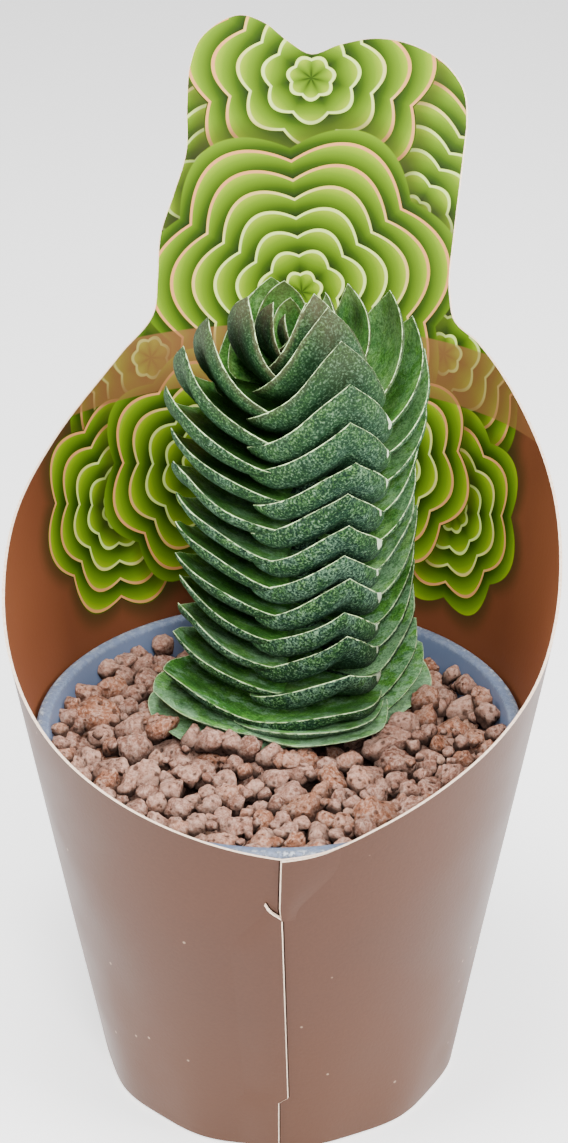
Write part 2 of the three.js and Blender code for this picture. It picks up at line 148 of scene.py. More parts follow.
# %% Helpers for nodes
class Finish:
    """A material whose nodes are added one at a time, ending in one surface shader.

    Further sockets of the shader are set by name, with _ for each space.
    """

    def __init__(self, name, roughness, **sockets):
        self.material = bpy.data.materials.new(name)
        self.material.use_nodes = True
        self.nodes = self.material.node_tree.nodes
        self.links = self.material.node_tree.links
        self.shader = self.nodes["Principled BSDF"]
        self.shader.inputs["Roughness"].default_value = roughness
        for socket, value in sockets.items():
            self.shader.inputs[socket.replace("_", " ")].default_value = value
        self.place = self.add("ShaderNodeTexCoord").outputs["Object"]

    def add(self, kind, inputs=(), **settings):
        """Adds a node, sets its options, and joins or sets its inputs by name or number."""
        node = self.nodes.new(kind)
        for option, value in settings.items():
            setattr(node, option, value)
        for socket, value in dict(inputs).items():
            if isinstance(value, bpy.types.NodeSocket):
                self.links.new(value, node.inputs[socket])
            else:
                node.inputs[socket].default_value = value
        return node

    def sum(self, operation, a, b=0.0, c=0.0):
        """A sum as in a school book: one step of arithmetic, such as ADD or MULTIPLY."""
        return self.add("ShaderNodeMath", {0: a, 1: b, 2: c}, operation=operation).outputs[0]

    def noise(self, size, detail=4.0, roughness=0.55, place=None):
        """Soft uneven numbers round 0.5, with lumps of about the given size in metres."""
        inputs = {"Vector": place or self.place, "Scale": 1 / size,
                  "Detail": detail, "Roughness": roughness}
        return self.add("ShaderNodeTexNoise", inputs).outputs["Fac"]

    def cells(self, size, feature="F1", place=None):
        """The distance to the nearest of many scattered points, in cells of that size."""
        inputs = {"Vector": place or self.place, "Scale": 1 / size}
        return self.add("ShaderNodeTexVoronoi", inputs, feature=feature).outputs["Distance"]

    def number(self, name):
        """A number that is stored on the mesh."""
        return self.add("ShaderNodeAttribute", attribute_name=name).outputs["Fac"]

    def between(self, value, low, high, to_low=0.0, to_high=1.0):
        """Maps low..high to to_low..to_high smoothly, and holds the ends."""
        inputs = {"Value": value, "From Min": low, "From Max": high,
                  "To Min": to_low, "To Max": to_high}
        node = self.add("ShaderNodeMapRange", inputs, interpolation_type="SMOOTHSTEP")
        return node.outputs["Result"]

    def ramp(self, value, stops):
        """A colour for each number, from a list of (number, colour)."""
        node = self.add("ShaderNodeValToRGB", {"Fac": value})
        points = node.color_ramp.elements
        while len(points) < len(stops):
            points.new(0.5)
        for point, (at, colour) in zip(points, stops):
            point.position = at
            point.color = (*colour, 1)
        return node.outputs["Color"]

    def mix(self, share, first, second, blend="MIX"):
        """Mixes two colours. A share of 0 gives the first and 1 the second."""
        first = (*first, 1) if isinstance(first, tuple) else first
        second = (*second, 1) if isinstance(second, tuple) else second
        # Of the node's many sockets, inputs 6 and 7 and output 2 are those for colours.
        inputs = {"Factor": share, 6: first, 7: second}
        node = self.add("ShaderNodeMix", inputs, data_type="RGBA", blend_type=blend)
        return node.outputs[2]

    def bump(self, height, depth, before=None):
        """Relief from a number. depth is the height in metres of a step from 0 to 1."""
        inputs = {"Height": height, "Distance": depth}
        if before is not None:
            inputs["Normal"] = before
        return self.add("ShaderNodeBump", inputs).outputs["Normal"]

    def wear(self, colour=None, roughness=None, normal=None):
        """Joins the finished colour, roughness and relief to the shader."""
        for socket, value in (("Base Color", colour), ("Roughness", roughness), ("Normal", normal)):
            if value is not None:
                self.links.new(value, self.shader.inputs[socket])
        return self.material


# %% [markdown]
# ## The card sleeve
# The sleeve is a flat die-cut card that is rolled into a cone round the pot. So its
# surface is a cone, and only its upper edge is drawn: low at the front, and high behind,
# where it ends in two rounded lobes. The edge is a list of turns about the axis and
# heights. A smooth line goes through them from the front seam all the way round, and each
# point of that line is the top of one straight column of the card.

# %% The upper edge of the card
# The cone's radius on the ground and its slope, the card's thickness, and how far above the
# ground the card begins.
CONE_BASE_RADIUS = 32.4 * MM
CONE_SLOPE = math.tan(math.radians(9.1))
CARD = 0.5 * MM
CARD_FOOT = 0.8 * MM
EDGE_POINTS = 460

# Turn from the front in degrees, and height in mm, from the seam all the way round.
CARD_EDGE = [
    (0.6, 68.6), (9, 69.6), (22, 73.4), (38, 78), (55, 82.6), (72, 87.6), (89, 96), (104, 105),
    (120, 114), (137, 123.6), (143.6, 126.8), (144.8, 130), (145.2, 147), (145.6, 160),
    (147, 166), (150.4, 169.6), (155.5, 172.1), (163, 173.2), (169.6, 171.8), (174.5, 170.1),
    (178.4, 172.3), (182.6, 175.6), (186.6, 176.9), (190.4, 175.6), (193.6, 173), (195.4, 169),
    (196.4, 162), (197, 154), (200, 146.5), (203, 140), (204.4, 132), (205.6, 126.4),
    (214, 119.8), (234, 108.6), (253, 100), (268, 92.3), (286, 84.6), (302, 79.6), (320, 75.6),
    (338, 72.2), (351, 70), (360.6, 68.6),
]
edge_line = smooth_path(CARD_EDGE, EDGE_POINTS)
EDGE_TURN = np.maximum.accumulate(edge_line[:, 0])
EDGE_HEIGHT = edge_line[:, 1] * MM
print("card edge from", EDGE_HEIGHT.min() / MM, "to", EDGE_HEIGHT.max() / MM, "mm")


# %% The cone, a little uneven as card is
# From where and how far up the card stands free of the pot, how far it bows there, and how
# deep and how far up it is creased.
POT_TOP = 69 * MM
FREE_CARD = 108 * MM
BOW = 0.9 * MM
CREASE = 0.25 * MM
CREASE_TOP = 30 * MM


def card_point(turn, height, off):
    """Points of the card's cone, off metres outside it.

    The radius grows evenly with the height. Above the pot the free card bows in and out as
    the sine of three times the turn, growing with the square of the height up to BOW. Near
    the ground it is creased, as the sine of eleven times the turn, less and less up to
    CREASE_TOP.
    """
    free = np.clip((height - POT_TOP) / FREE_CARD, 0, 1)
    bow = BOW * free**2 * np.sin(np.radians(3 * turn + 40))
    crease = CREASE * np.sin(np.radians(11 * turn)) * np.clip(1 - height / CREASE_TOP, 0, 1)
    radius = CONE_BASE_RADIUS + CONE_SLOPE * height + off + bow + crease
    angle = np.radians(turn)
    return np.stack([radius * np.sin(angle), -radius * np.cos(angle), height + 0 * angle], -1)


def card_grid(rows, turn, low, high, off):
    """A grid of card points. Each column goes from low to high at its own turn."""
    share = np.linspace(0, 1, rows)[:, None]
    height = low + share * (high - low)
    return card_point(turn + 0 * height, height, off)


# %% [markdown]
# ### The print on the card
# The outside is plain brown, and the inside is a warmer brown with a picture on the tall
# panel. The picture here is a pattern of its own kind: fans of leaf-green ruffles, each a
# set of arcs round one point, laid over each other like scales. A fan needs only its
# middle, its radius and the way it faces, so a loop can write the whole print.

# %% The outside of the card
def card_outside():
    """Brown satin print: faint mottling, warmer near the ground, and a few pale specks."""
    finish = Finish("card_outside", 0.4, Specular_IOR_Level=0.16)
    cloud = finish.noise(0.03, 3)
    fibre = finish.noise(0.0006, 2)
    tone = finish.sum("ADD", finish.sum("MULTIPLY", cloud, 0.6), finish.sum("MULTIPLY", fibre, 0.4))
    colour = finish.ramp(tone, [(0.3, (0.050, 0.0205, 0.0115)), (0.7, (0.062, 0.0255, 0.0145))])
    height = finish.add("ShaderNodeSeparateXYZ", {0: finish.place}).outputs[2]
    near_ground = finish.between(height, 0.0, 0.05, 0.5, 0.0)
    colour = finish.mix(near_ground, colour, (0.067, 0.0248, 0.0095))
    speck = finish.between(finish.cells(0.006), 0.03, 0.06, 0.5, 0.0)
    colour = finish.mix(speck, colour, (0.4, 0.28, 0.2))
    normal = finish.bump(fibre, 0.00002)
    return finish.wear(colour, finish.between(cloud, 0.3, 0.7, 0.34, 0.46), normal)


def card_cut_edge():
    """The raw edge of the board: cream paper fibres."""
    finish = Finish("card_cut_edge", 0.85)
    fibre = finish.noise(0.0005, 3)
    colour = finish.ramp(fibre, [(0.3, (0.66, 0.46, 0.33)), (0.7, (0.85, 0.70, 0.56))])
    return finish.wear(colour, normal=finish.bump(fibre, 0.00005))


def card_painted_shade():
    """A painted shade: the dark line of shade under an overlap's lifted edge, laid as a ribbon
    along it.
    """
    finish = Finish("card_painted_shade", 0.95, Specular_IOR_Level=0.1)
    dust = finish.noise(0.002)
    colour = finish.ramp(dust, [(0.3, (0.006, 0.002, 0.001)), (0.7, (0.020, 0.008, 0.005))])
    return finish.wear(colour)


# %% The fans printed inside
# Places across the panel and up it, in mm from the panel's middle line and the ground, then
# the radius in mm, and the turn of the fan in degrees. Later fans lie over earlier ones.
FANS = [
    (17, 146, 31, 20), (-18, 143, 31, -25), (0, 166, 20, 0), (30, 118, 23, 55),
    (-27, 120, 22, -50), (1, 128, 30, 5), (41, 92, 20, 70), (-34, 92, 19, -75),
    (22, 96, 22, 25), (-17, 98, 20, -20),
]
# In a fan: mm from one arc to the next, petals in a full circle, how far an arc swells out
# as a share of its radius, where the fan ends as a share of the given radius, and the width
# of its shadow in mm.
RUFFLE_STEP = 3.4
PETALS = 7
RUFFLE_SWELL = 0.16
FAN_END = 0.86
FAN_SHADOW = 4
# The mm that the chart of the card covers across and up, and the veil's two heights in mm.
PRINT_WIDTH = 400
PRINT_HEIGHT = 200
VEIL = (111.4, 122)


def printed_fan(finish, colour, across, height, middle, up, radius, turn):
    """The colour with one fan and its shadow laid over it.

    Each arc swells out by the sine of the angle, more so further from the middle, and the
    fraction of its number is the place between two arcs: dark, then light green, and last a
    thin pale line. Between two petals the green is darker.
    """
    dx = finish.sum("SUBTRACT", across, middle)
    dy = finish.sum("SUBTRACT", height, up)
    squares = finish.sum("ADD", finish.sum("MULTIPLY", dx, dx), finish.sum("MULTIPLY", dy, dy))
    far = finish.sum("SQRT", squares)
    angle = finish.sum("SUBTRACT", finish.sum("ARCTAN2", dx, dy), math.radians(turn))
    petal = finish.sum("ABSOLUTE", finish.sum("SINE", finish.sum("MULTIPLY", angle, PETALS / 2)))
    swell = finish.sum("MULTIPLY", finish.sum("MULTIPLY", petal, far), RUFFLE_SWELL)
    edge = finish.sum("SUBTRACT", far, swell)
    band = finish.sum("FRACT", finish.sum("DIVIDE", edge, RUFFLE_STEP))
    shade = finish.sum("MULTIPLY", petal, 0.3)
    green = finish.ramp(finish.sum("ADD", finish.sum("MULTIPLY", band, 0.7), shade), [
        (0.0, (0.004, 0.010, 0.001)), (0.3, (0.026, 0.062, 0.001)),
        (0.65, (0.100, 0.190, 0.002)), (1.0, (0.28, 0.40, 0.005))])
    beside = finish.sum("ABSOLUTE", finish.sum("SUBTRACT", band, 0.92))
    line = finish.between(beside, 0.04, 0.10, 1.0, 0.0)
    outwards = finish.between(far, radius * 0.45, radius * 0.8)
    pale = finish.mix(outwards, (0.50, 0.62, 0.16), (0.58, 0.24, 0.09))
    fan = finish.mix(line, green, pale)
    end = radius * FAN_END
    shadow = finish.between(edge, end, end + FAN_SHADOW, 0.65, 0.0)
    colour = finish.mix(shadow, colour, (0.02, 0.022, 0.004))
    soft = radius * 0.005
    return finish.mix(finish.between(edge, end - soft, end + soft, 1.0, 0.0), colour, fan)


def card_inside():
    """Warm brown with the printed fans, and a veil of brown across the print."""
    finish = Finish("card_inside", 0.6, Specular_IOR_Level=0.1)
    chart = finish.add("ShaderNodeUVMap", uv_map="card")
    axes = finish.add("ShaderNodeSeparateXYZ", {0: chart.outputs["UV"]}).outputs
    across = finish.sum("MULTIPLY", finish.sum("SUBTRACT", axes[0], 0.5), PRINT_WIDTH)
    height = finish.sum("MULTIPLY", axes[1], PRINT_HEIGHT)
    fibre = finish.noise(0.0007, 2)
    cloud = finish.noise(0.05, 2)
    colour = finish.ramp(cloud, [(0.3, (0.120, 0.036, 0.0145)), (0.7, (0.155, 0.050, 0.0210))])
    for fan in FANS:
        colour = printed_fan(finish, colour, across, height, *fan)
    from_below = finish.between(height, VEIL[0], VEIL[0] + 0.3)
    from_above = finish.between(height, VEIL[1], VEIL[1] + 0.3, 1.0, 0.0)
    veil = finish.sum("MULTIPLY", finish.sum("MULTIPLY", from_below, from_above), 0.66)
    colour = finish.mix(veil, colour, (0.20, 0.085, 0.03))
    return finish.wear(colour, normal=finish.bump(fibre, 0.00002))


CARD_FINISHES = [card_outside(), card_inside(), card_cut_edge(), card_painted_shade()]
print("the print has", len(FANS), "fans")

# %% [markdown]
# ### Rolling the card
# The ring of card is one closed sheet. Inside its faces a chart stores how far round and
# how high each corner lies, so that the print stays flat on the rolled card.

# %% The rolled card
# The turn of the tall panel's middle line in degrees, and the cone's radius there in mm.
PANEL_TURN = 174.3
PANEL_RADIUS = 52
CARD_ROWS = 16


def chart_card(piece, turn_of_column, columns):
    """Stores the chart of the card: arc at the panel's radius across, and height up."""
    mesh = piece.data
    corners = np.empty(len(mesh.loops), np.int32)
    mesh.loops.foreach_get("vertex_index", corners)
    place = np.empty(len(mesh.vertices) * 3)
    mesh.vertices.foreach_get("co", place)
    turn = turn_of_column[corners % columns].reshape(-1, 4)
    # A quad that crosses the seam takes the first column's turn as a full circle more.
    turn = np.where(turn.max(1, keepdims=True) - turn > 180, turn + 360, turn)
    across = np.radians(turn - PANEL_TURN) * PANEL_RADIUS / PRINT_WIDTH + 0.5
    height = place.reshape(-1, 3)[corners, 2] / MM / PRINT_HEIGHT
    chart = np.stack([across.ravel(), height], -1)
    mesh.uv_layers.new(name="card").data.foreach_set("uv", chart.ravel())


ring_turn = EDGE_TURN[:-1]
ring_top = EDGE_HEIGHT[:-1]
ring_outer = card_grid(CARD_ROWS, ring_turn, CARD_FOOT, ring_top, 0.0)
ring_inner = card_grid(CARD_ROWS, ring_turn, CARD_FOOT, ring_top, -CARD)
points, quads, numbers = thick_sheet(ring_outer, ring_inner, closed=True)
card = new_piece("card_sleeve", points, quads, CARD_FINISHES, numbers)
chart_card(card, ring_turn, len(ring_turn))
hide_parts("sleeve")

# %% [markdown]
# ### The overlap at the front
# The two ends of the card overlap at the front and are hooked into each other at a small
# slanting slit. Above the slit the right end lies on top, and below it the left end. Each
# end is a thin sheet that rises out of the rolled card as it nears its own cut edge, so
# the card turns from under to over without a step.

# %% The two ends of the card
# Lines on the card, as turns in degrees and heights in mm.
SLIT = [(-3.2, 59.4), (-2.4, 58.2), (0.4, 56.2)]
UPPER_SEAM = [(0.5, 55.6), (0.2, 58.3), (0.5, 68.6)]
LOWER_SEAM = [(-0.3, 0.8), (-0.3, 12.4), (2.3, 13.7), (0.5, 55.6)]
# How far round an end goes from the seam: degrees at the slit, the degrees that this grows
# by, and the mm of height over which it grows.
END_REACH = 3.8
MORE_REACH = 11
REACH_GROWTH = 12
END_COLUMNS = 14


def card_end(name, seam, heights, side, fade_from):
    """One end of the card as a thin closed sheet.

    side is 1 for the end to the right of the seam and -1 for the left one. Its lift above
    the rolled card is a smooth step from just under its face, at a reach that grows away
    from the slit at the height fade_from, to the card's thickness at the seam. The right
    end stops just under the card's upper edge, and the left one at the slit.
    """
    share = np.linspace(0, 1, END_COLUMNS)[None, :]
    height = heights[:, None]
    seam_turn, seam_height = np.transpose(seam)
    start = np.interp(height, seam_height, seam_turn)
    reach = END_REACH + MORE_REACH * smooth_step(np.abs(height - fade_from) / REACH_GROWTH)
    turn = start + side * reach * (1 - share)
    if side > 0:
        top = np.interp(turn + 360 * (turn < CARD_EDGE[0][0]), EDGE_TURN, EDGE_HEIGHT / MM) - 0.05
    else:
        top = np.interp(turn, *np.transpose(SLIT))
    up = np.minimum(height + 0 * turn, top)
    lift = CARD * (1.1 * smooth_step(share * 1.15) - 0.1) + 0 * turn
    outer = card_point(turn, up * MM, lift)
    inner = card_point(turn, up * MM, np.maximum(lift - CARD, -0.8 * CARD))
    if side > 0:
        outer, inner = outer[:, ::-1], inner[:, ::-1]
    points, quads, numbers = thick_sheet(outer, inner, closed=False)
    piece = new_piece(name, points, quads, CARD_FINISHES, numbers)
    chart_card(piece, turn.mean(0)[::-1] if side > 0 else turn.mean(0), END_COLUMNS)


# Heights of the rows in mm, closer near the slit.
upper_heights = np.concatenate([np.linspace(55.7, 60, 8), np.linspace(61, 70.5, 12)])
lower_heights = np.concatenate([[0.9, 7, 12.4, 13.7], np.linspace(17, 46, 14),
                                np.linspace(47, 59.4, 20)])
card_end("card_end_right", UPPER_SEAM, upper_heights, 1, 55.6)
card_end("card_end_left", LOWER_SEAM, lower_heights, -1, 59.4)

# %% [markdown]
# Each overlap ends in a cut edge, which slopes because the blade crushed it. From the front
# it is a cream line, with a painted shade beside it: a dark line that stands for the shade
# under the lifted edge. Both are narrow ribbons along the seam. The slit has them too: there
# the hooked tongue curls up a little.

# %% Ribbons along the cut edges
# The cone's radius halfway up the seam and a ribbon's thickness, in mm, and the places of
# two finishes in the list.
SEAM_RADIUS = 37
RIBBON_THICKNESS = 0.12
CUT_EDGE = 2
PAINTED_SHADE = 3


def card_ribbon(name, line, side, from_edge, lifts, number):
    """A ribbon along a line on the card, from from_edge[0] to from_edge[1] mm beside it.

    side is 1 for the right of the line and -1 for the left, seen from its first point to
    its last. lifts are the heights in mm above the rolled card on the two sides of the
    ribbon, and number picks the finish. The line is laid flat at the seam's radius, its
    slope is turned a quarter round, and points are set off that way on both sides.
    """
    mm_per_degree = math.radians(1) * SEAM_RADIUS
    flat = np.array(line, float) * [mm_per_degree, 1]
    along = np.gradient(flat, axis=0)
    along /= np.linalg.norm(along, axis=1, keepdims=True)
    across = np.stack([along[:, 1], -along[:, 0]], -1) * side
    grids = []
    for thickness in (0.0, RIBBON_THICKNESS):
        rows = []
        for reach, lift in zip(from_edge, lifts):
            turn, height = (flat + across * reach).T
            rows.append(card_point(turn / mm_per_degree, height * MM, (lift - thickness) * MM))
        grids.append(np.stack(rows if side > 0 else rows[::-1], 1))
    points, quads, numbers = thick_sheet(grids[0], grids[1], closed=False)
    piece = new_piece(name, points, quads, CARD_FINISHES, np.full(len(numbers), number))
    chart_card(piece, np.zeros(2), 2)


# Each cut edge gets a cream ribbon, and beside it a dark ribbon of painted shade.
for name, line, side, lift in (("seam_upper", UPPER_SEAM, -1, 0.55),
                               ("seam_lower", LOWER_SEAM, 1, 0.55),
                               ("slit_lower", smooth_path(SLIT, 40), -1, 0.7)):
    card_ribbon(name + "_edge", line, side, (-0.03, 0.15), (lift, 0.1), CUT_EDGE)
    card_ribbon(name + "_shade", line, side, (0.13, 0.36), (0.06, 0.06), PAINTED_SHADE)

# %% [markdown]
# ## The nursery pot
# A thermoformed pot is a thin turned shell: a flat floor with drain holes, a straight
# cone wall, and a rim band that steps out and ends in a flat lip. A profile that is
# turned about the axis gives it all but the holes, which are cut with a boolean.

# %% The pot's finish
def pot_plastic():
    """Grey-blue plastic with faint flow marks, and pale chalky dust on the lip."""
    finish = Finish("pot_plastic", 0.42, Specular_IOR_Level=0.3)
    cloud = finish.noise(0.02, 4)
    grain = finish.noise(0.0004, 2)
    colour = finish.ramp(cloud, [(0.3, (0.094, 0.126, 0.205)), (0.7, (0.126, 0.162, 0.252))])
    height = finish.add("ShaderNodeSeparateXYZ", {0: finish.place}).outputs[2]
    lip = finish.between(height, 0.0678, 0.0688)
    flat = finish.add("ShaderNodeVectorMath", {0: finish.place, 1: (1, 1, 0)}, operation="MULTIPLY")
    radius = finish.add("ShaderNodeVectorMath", {0: flat.outputs[0]}, operation="LENGTH")
    outer_half = finish.between(radius.outputs["Value"], 0.0409, 0.0416, 0.25, 1.0)
    lip = finish.sum("MULTIPLY", lip, outer_half)
    dust = finish.between(finish.noise(0.0012, 6, 0.75), 0.46, 0.58)
    chalk = finish.sum("MULTIPLY", lip, finish.sum("ADD", finish.sum("MULTIPLY", dust, 0.4), 0.10))
    colour = finish.mix(chalk, colour, (0.62, 0.66, 0.70))
    normal = finish.bump(grain, 0.00003)
    normal = finish.bump(finish.sum("MULTIPLY", lip, dust), 0.00015, normal)
    return finish.wear(colour, finish.between(cloud, 0.3, 0.7, 0.36, 0.5), normal)


# %% Turning the pot
POT_SIDES = 144
# Radius and height in mm, up the outside, over the lip and down the inside.
POT_PROFILE = [
    (28.4, 0), (29.2, 0.2), (29.6, 0.8), (33.6, 20), (37.6, 40), (39.9, 60.9), (40.3, 61.4),
    (41.2, 62.0), (42.28, 68.1), (42.2, 68.6), (41.9, 68.9), (41.6, 69.0), (40.4, 69.0),
    (40.1, 68.85), (39.9, 68.4), (39.3, 64.0), (38.5, 60.2), (36.2, 40), (32.2, 20), (28.6, 2.2),
    (28.0, 1.6),
]


def round_quads(rows, sides):
    """The points' numbers in closed rows, and the quads between each row and the next."""
    number = np.arange(rows * sides).reshape(rows, sides)
    turned = np.roll(number, -1, axis=1)
    quads = np.stack([number[:-1], turned[:-1], turned[1:], number[1:]], -1)
    return number, quads.reshape(-1, 4).tolist()


def turned_body(name, profile, sides, materials):
    """A closed body from a profile turned about Z, with a point on the axis at each end.

    At each of its turns the profile's radius is multiplied by the sine and the cosine.
    """
    profile = np.array(profile) * MM
    angle = np.linspace(0, 2 * math.pi, sides, endpoint=False)
    ring = np.stack([np.sin(angle), -np.cos(angle)], -1)
    flat = profile[:, None, :1] * ring[None]
    up = np.broadcast_to(profile[:, None, 1:], flat.shape[:2] + (1,))
    points = np.concatenate([flat, up], -1).reshape(-1, 3)
    number, quads = round_quads(len(profile), sides)
    first, last = len(points), len(points) + 1
    ends = [[first, b, a] for a, b in zip(number[0], np.roll(number[0], -1))]
    ends += [[last, a, b] for a, b in zip(number[-1], np.roll(number[-1], -1))]
    points = np.concatenate([points, [[0, 0, profile[0, 1]], [0, 0, profile[-1, 1]]]])
    return new_piece(name, points, quads + ends, materials, sharp_angle=60)


pot = turned_body("nursery_pot", POT_PROFILE, POT_SIDES, [pot_plastic()])
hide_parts("pot")

# %% Cutting the drain holes
DRAIN_HOLES = 6
DRAIN_RADIUS = 3 * MM
DRAIN_CIRCLE = 20 * MM
for hole in range(DRAIN_HOLES):
    turn = 2 * math.pi * hole / DRAIN_HOLES
    middle = (DRAIN_CIRCLE * math.cos(turn), DRAIN_CIRCLE * math.sin(turn), 0)
    bpy.ops.mesh.primitive_cylinder_add(vertices=24, radius=DRAIN_RADIUS, depth=8 * MM,
                                        location=middle)
    drill = bpy.context.object
    cut = pot.modifiers.new("drain_hole", "BOOLEAN")
    cut.operation = "DIFFERENCE"
    cut.object = drill
    with bpy.context.temp_override(object=pot, active_object=pot):
        bpy.ops.object.modifier_apply(modifier=cut.name)
    bpy.data.objects.remove(drill)
print("pot with drain holes:", len(pot.data.polygons), "faces")

# %% [markdown]
# ## The soil
# The soil fills the pot under the gravel and shows only through the drain holes. The CAD
# solid has the right shape, so it stays and gets a crumbly dark finish.

# %% The soil's finish
def peat():
    """Dark brown crumbs with a few pale fibres."""
    finish = Finish("peat", 0.95)
    crumb = finish.cells(0.002)
    fibre = finish.noise(0.0008, 6, 0.7)
    colour = finish.ramp(fibre, [(0.35, (0.012, 0.007, 0.004)), (0.6, (0.05, 0.028, 0.015)),
                                 (0.75, (0.14, 0.09, 0.05))])
    return finish.wear(colour, normal=finish.bump(finish.sum("ADD", crumb, fibre), 0.0006))


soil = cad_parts["potting_soil"]
soil.material_slots[0].material = peat()

# %% [markdown]
# ## The plant
# Leaves stand on the stem in pairs, each pair a quarter turn from the next, so they make
# four rows and the tips stand at the corners of a square. A leaf leaves the stem flat and
# bends up along an arc, more and more towards the top of the plant, where the young
# leaves close over each other like a cabbage. Going down, the leaves open, reach further,
# and the oldest lie flat on the stones. So one table says how a leaf changes with its
# place on the stem, and one function makes it.

# %% How the leaves change down the stem
# All lengths in these tables are in mm.
PAIRS = 33
# Pair, height of the tip, its rise above the joint, bend in degrees, widest reach, half
# width, place of the side lobes as a share of the length, hollow across, rounding of the tip.
GROWTH = np.array([
    (0, 138, 7, 130, 3, 3.2, 0.25, 0.1, 0),
    (2, 141, 13, 132, 6, 6.3, 0.27, 0.06, 0.04),
    (4, 142.8, 18, 122, 10.6, 9.5, 0.3, 0.045, 0.08),
    (6, 140.4, 20, 105, 16.4, 12, 0.32, 0.03, 0.06),
    (8, 135, 18.5, 91, 20.2, 13.4, 0.35, 0.02, 0.04),
    (10, 128.6, 16, 79, 22.8, 13.4, 0.38, 0.016, 0.03),
    (12, 121.6, 14, 68, 22.8, 13, 0.4, 0.014, 0.02),
    (16, 109, 12.6, 64, 22, 12.4, 0.4, 0.014, 0),
    (25, 85.3, 12.4, 62, 21.8, 12.4, 0.4, 0.014, 0),
    (28, 76, 9.6, 48, 24, 13.2, 0.4, 0.01, 0.05),
    (32, 66.4, 2.6, 14, 26.2, 15.4, 0.4, 0.008, 0.14),
])
# Each row of leaves: turn from the front row, which pairs stand in it (odd 1, even 0),
# lift, shares of rise, reach and half width, and full thickness.
ROWS = [
    (0, 1, 0.55, 1.04, 1.0, 0.96, 2.9),
    (90, 0, -0.55, 0.96, 1.03, 1.08, 1.9),
    (180, 1, 0.55, 0.88, 0.95, 0.96, 2.9),
    (270, 0, -0.55, 0.96, 1.03, 1.08, 1.9),
]
# The youngest and the oldest leaves are thinner: pair, and share of the thickness. The
# oldest are also rounder: pair, and the power of the width that rounds the tip.
THICKNESS_SHARE = [(4, 0.5), (9, 1), (26, 1), (29, 0.85), (31, 0.42), (32, 0.35)]
TIP_POWER = [(29, 1), (31, 0.75)]


def read_at(pair, table):
    """All values of a table at one pair, read along straight lines."""
    pairs, *columns = np.transpose(table)
    return [np.interp(pair, pairs, column) for column in columns]


# %% [markdown]
# ### One leaf
# The outline of the flat leaf goes from its tip out to the side lobes and back to the
# stem. Rows of points run from the outline in towards the stem. The upper face is nearly
# flat. The lower face starts at the same sharp rim and swells away from it like a quarter
# of a circle, which gives the leaf its thick, boat-shaped edge. All points are first laid
# out on the flat leaf, and the last step bends them up along the arc.

# %% The outline and the rows of a leaf
# From the tip to a lobe and back: share of the way to the lobe, share of the half width,
# and fullness of the blade there.
LEAF_OUTLINE = [(0, 0, 0.45), (0.36, 0.48, 0.9), (0.8, 0.87, 1), (1.02, 1, 0.65), (1.18, 0.96, 0)]
# The rows of the upper and the lower face, as shares of the way out from the stem.
ABOVE = np.array([1, 0.985, 0.95, 0.88, 0.78, 0.64, 0.45, 0.22])
BELOW = np.array([1, 0.998, 0.99, 0.975, 0.95, 0.91, 0.86, 0.8, 0.68, 0.5, 0.25])
# How far in from the rim the lower face swells, what share of the thickness is left at the
# stem, and how far from the tip to the lobe the right corner lies.
EDGE_ROUNDING = 0.2
THIN_AT_STEM = 0.55
CORNER_AT = 0.66
half_outline = smooth_path(LEAF_OUTLINE, 25)
LEAF_EDGE = np.concatenate([half_outline[::-1] * [1, -1, 1], half_outline[1:]])
RIGHT_CORNER = len(half_outline) - 1 + int(np.argmin(np.abs(half_outline[:, 0] - CORNER_AT)))


def leaf_faces(columns):
    """Faces of a leaf: two grids that share the rim, each run in to one point at the stem.

    Each face has a number for its finish: 0 above and 1 below.
    """
    above = np.arange(len(ABOVE) * columns).reshape(len(ABOVE), columns)
    below = above.max() + 1 + np.arange((len(BELOW) - 1) * columns).reshape(-1, columns)
    below = np.concatenate([above[:1], below])
    heart_above = below.max() + 1
    heart_below = heart_above + 1
    faces = []
    numbers = []
    for grid, heart, flip in ((above, heart_above, False), (below, heart_below, True)):
        quads = np.stack([grid[:-1, :-1], grid[:-1, 1:], grid[1:, 1:], grid[1:, :-1]], -1)
        fan = np.stack([grid[-1, :-1], grid[-1, 1:], np.full(columns - 1, heart)], -1)
        group = quads.reshape(-1, 4).tolist() + fan.tolist()
        if flip:
            group = [face[::-1] for face in group]
        faces += group
        numbers += [int(flip)] * len(group)
    # The two straight edges that run back to the stem.
    for column, turned_round in ((0, False), (columns - 1, True)):
        up = above[:, column].tolist() + [heart_above]
        down = below[:, column].tolist() + [heart_below]
        strip = up + down[:0:-1]
        faces.append(strip[::-1] if turned_round else strip)
        numbers.append(1)
    return faces, numbers


LEAF_FACES, LEAF_NUMBERS = leaf_faces(len(LEAF_EDGE))
print("a leaf has", len(LEAF_FACES), "faces")


# %% Bending a leaf up
# What the stem end of a leaf has as its distance from the rim, in mm.
FAR = 9


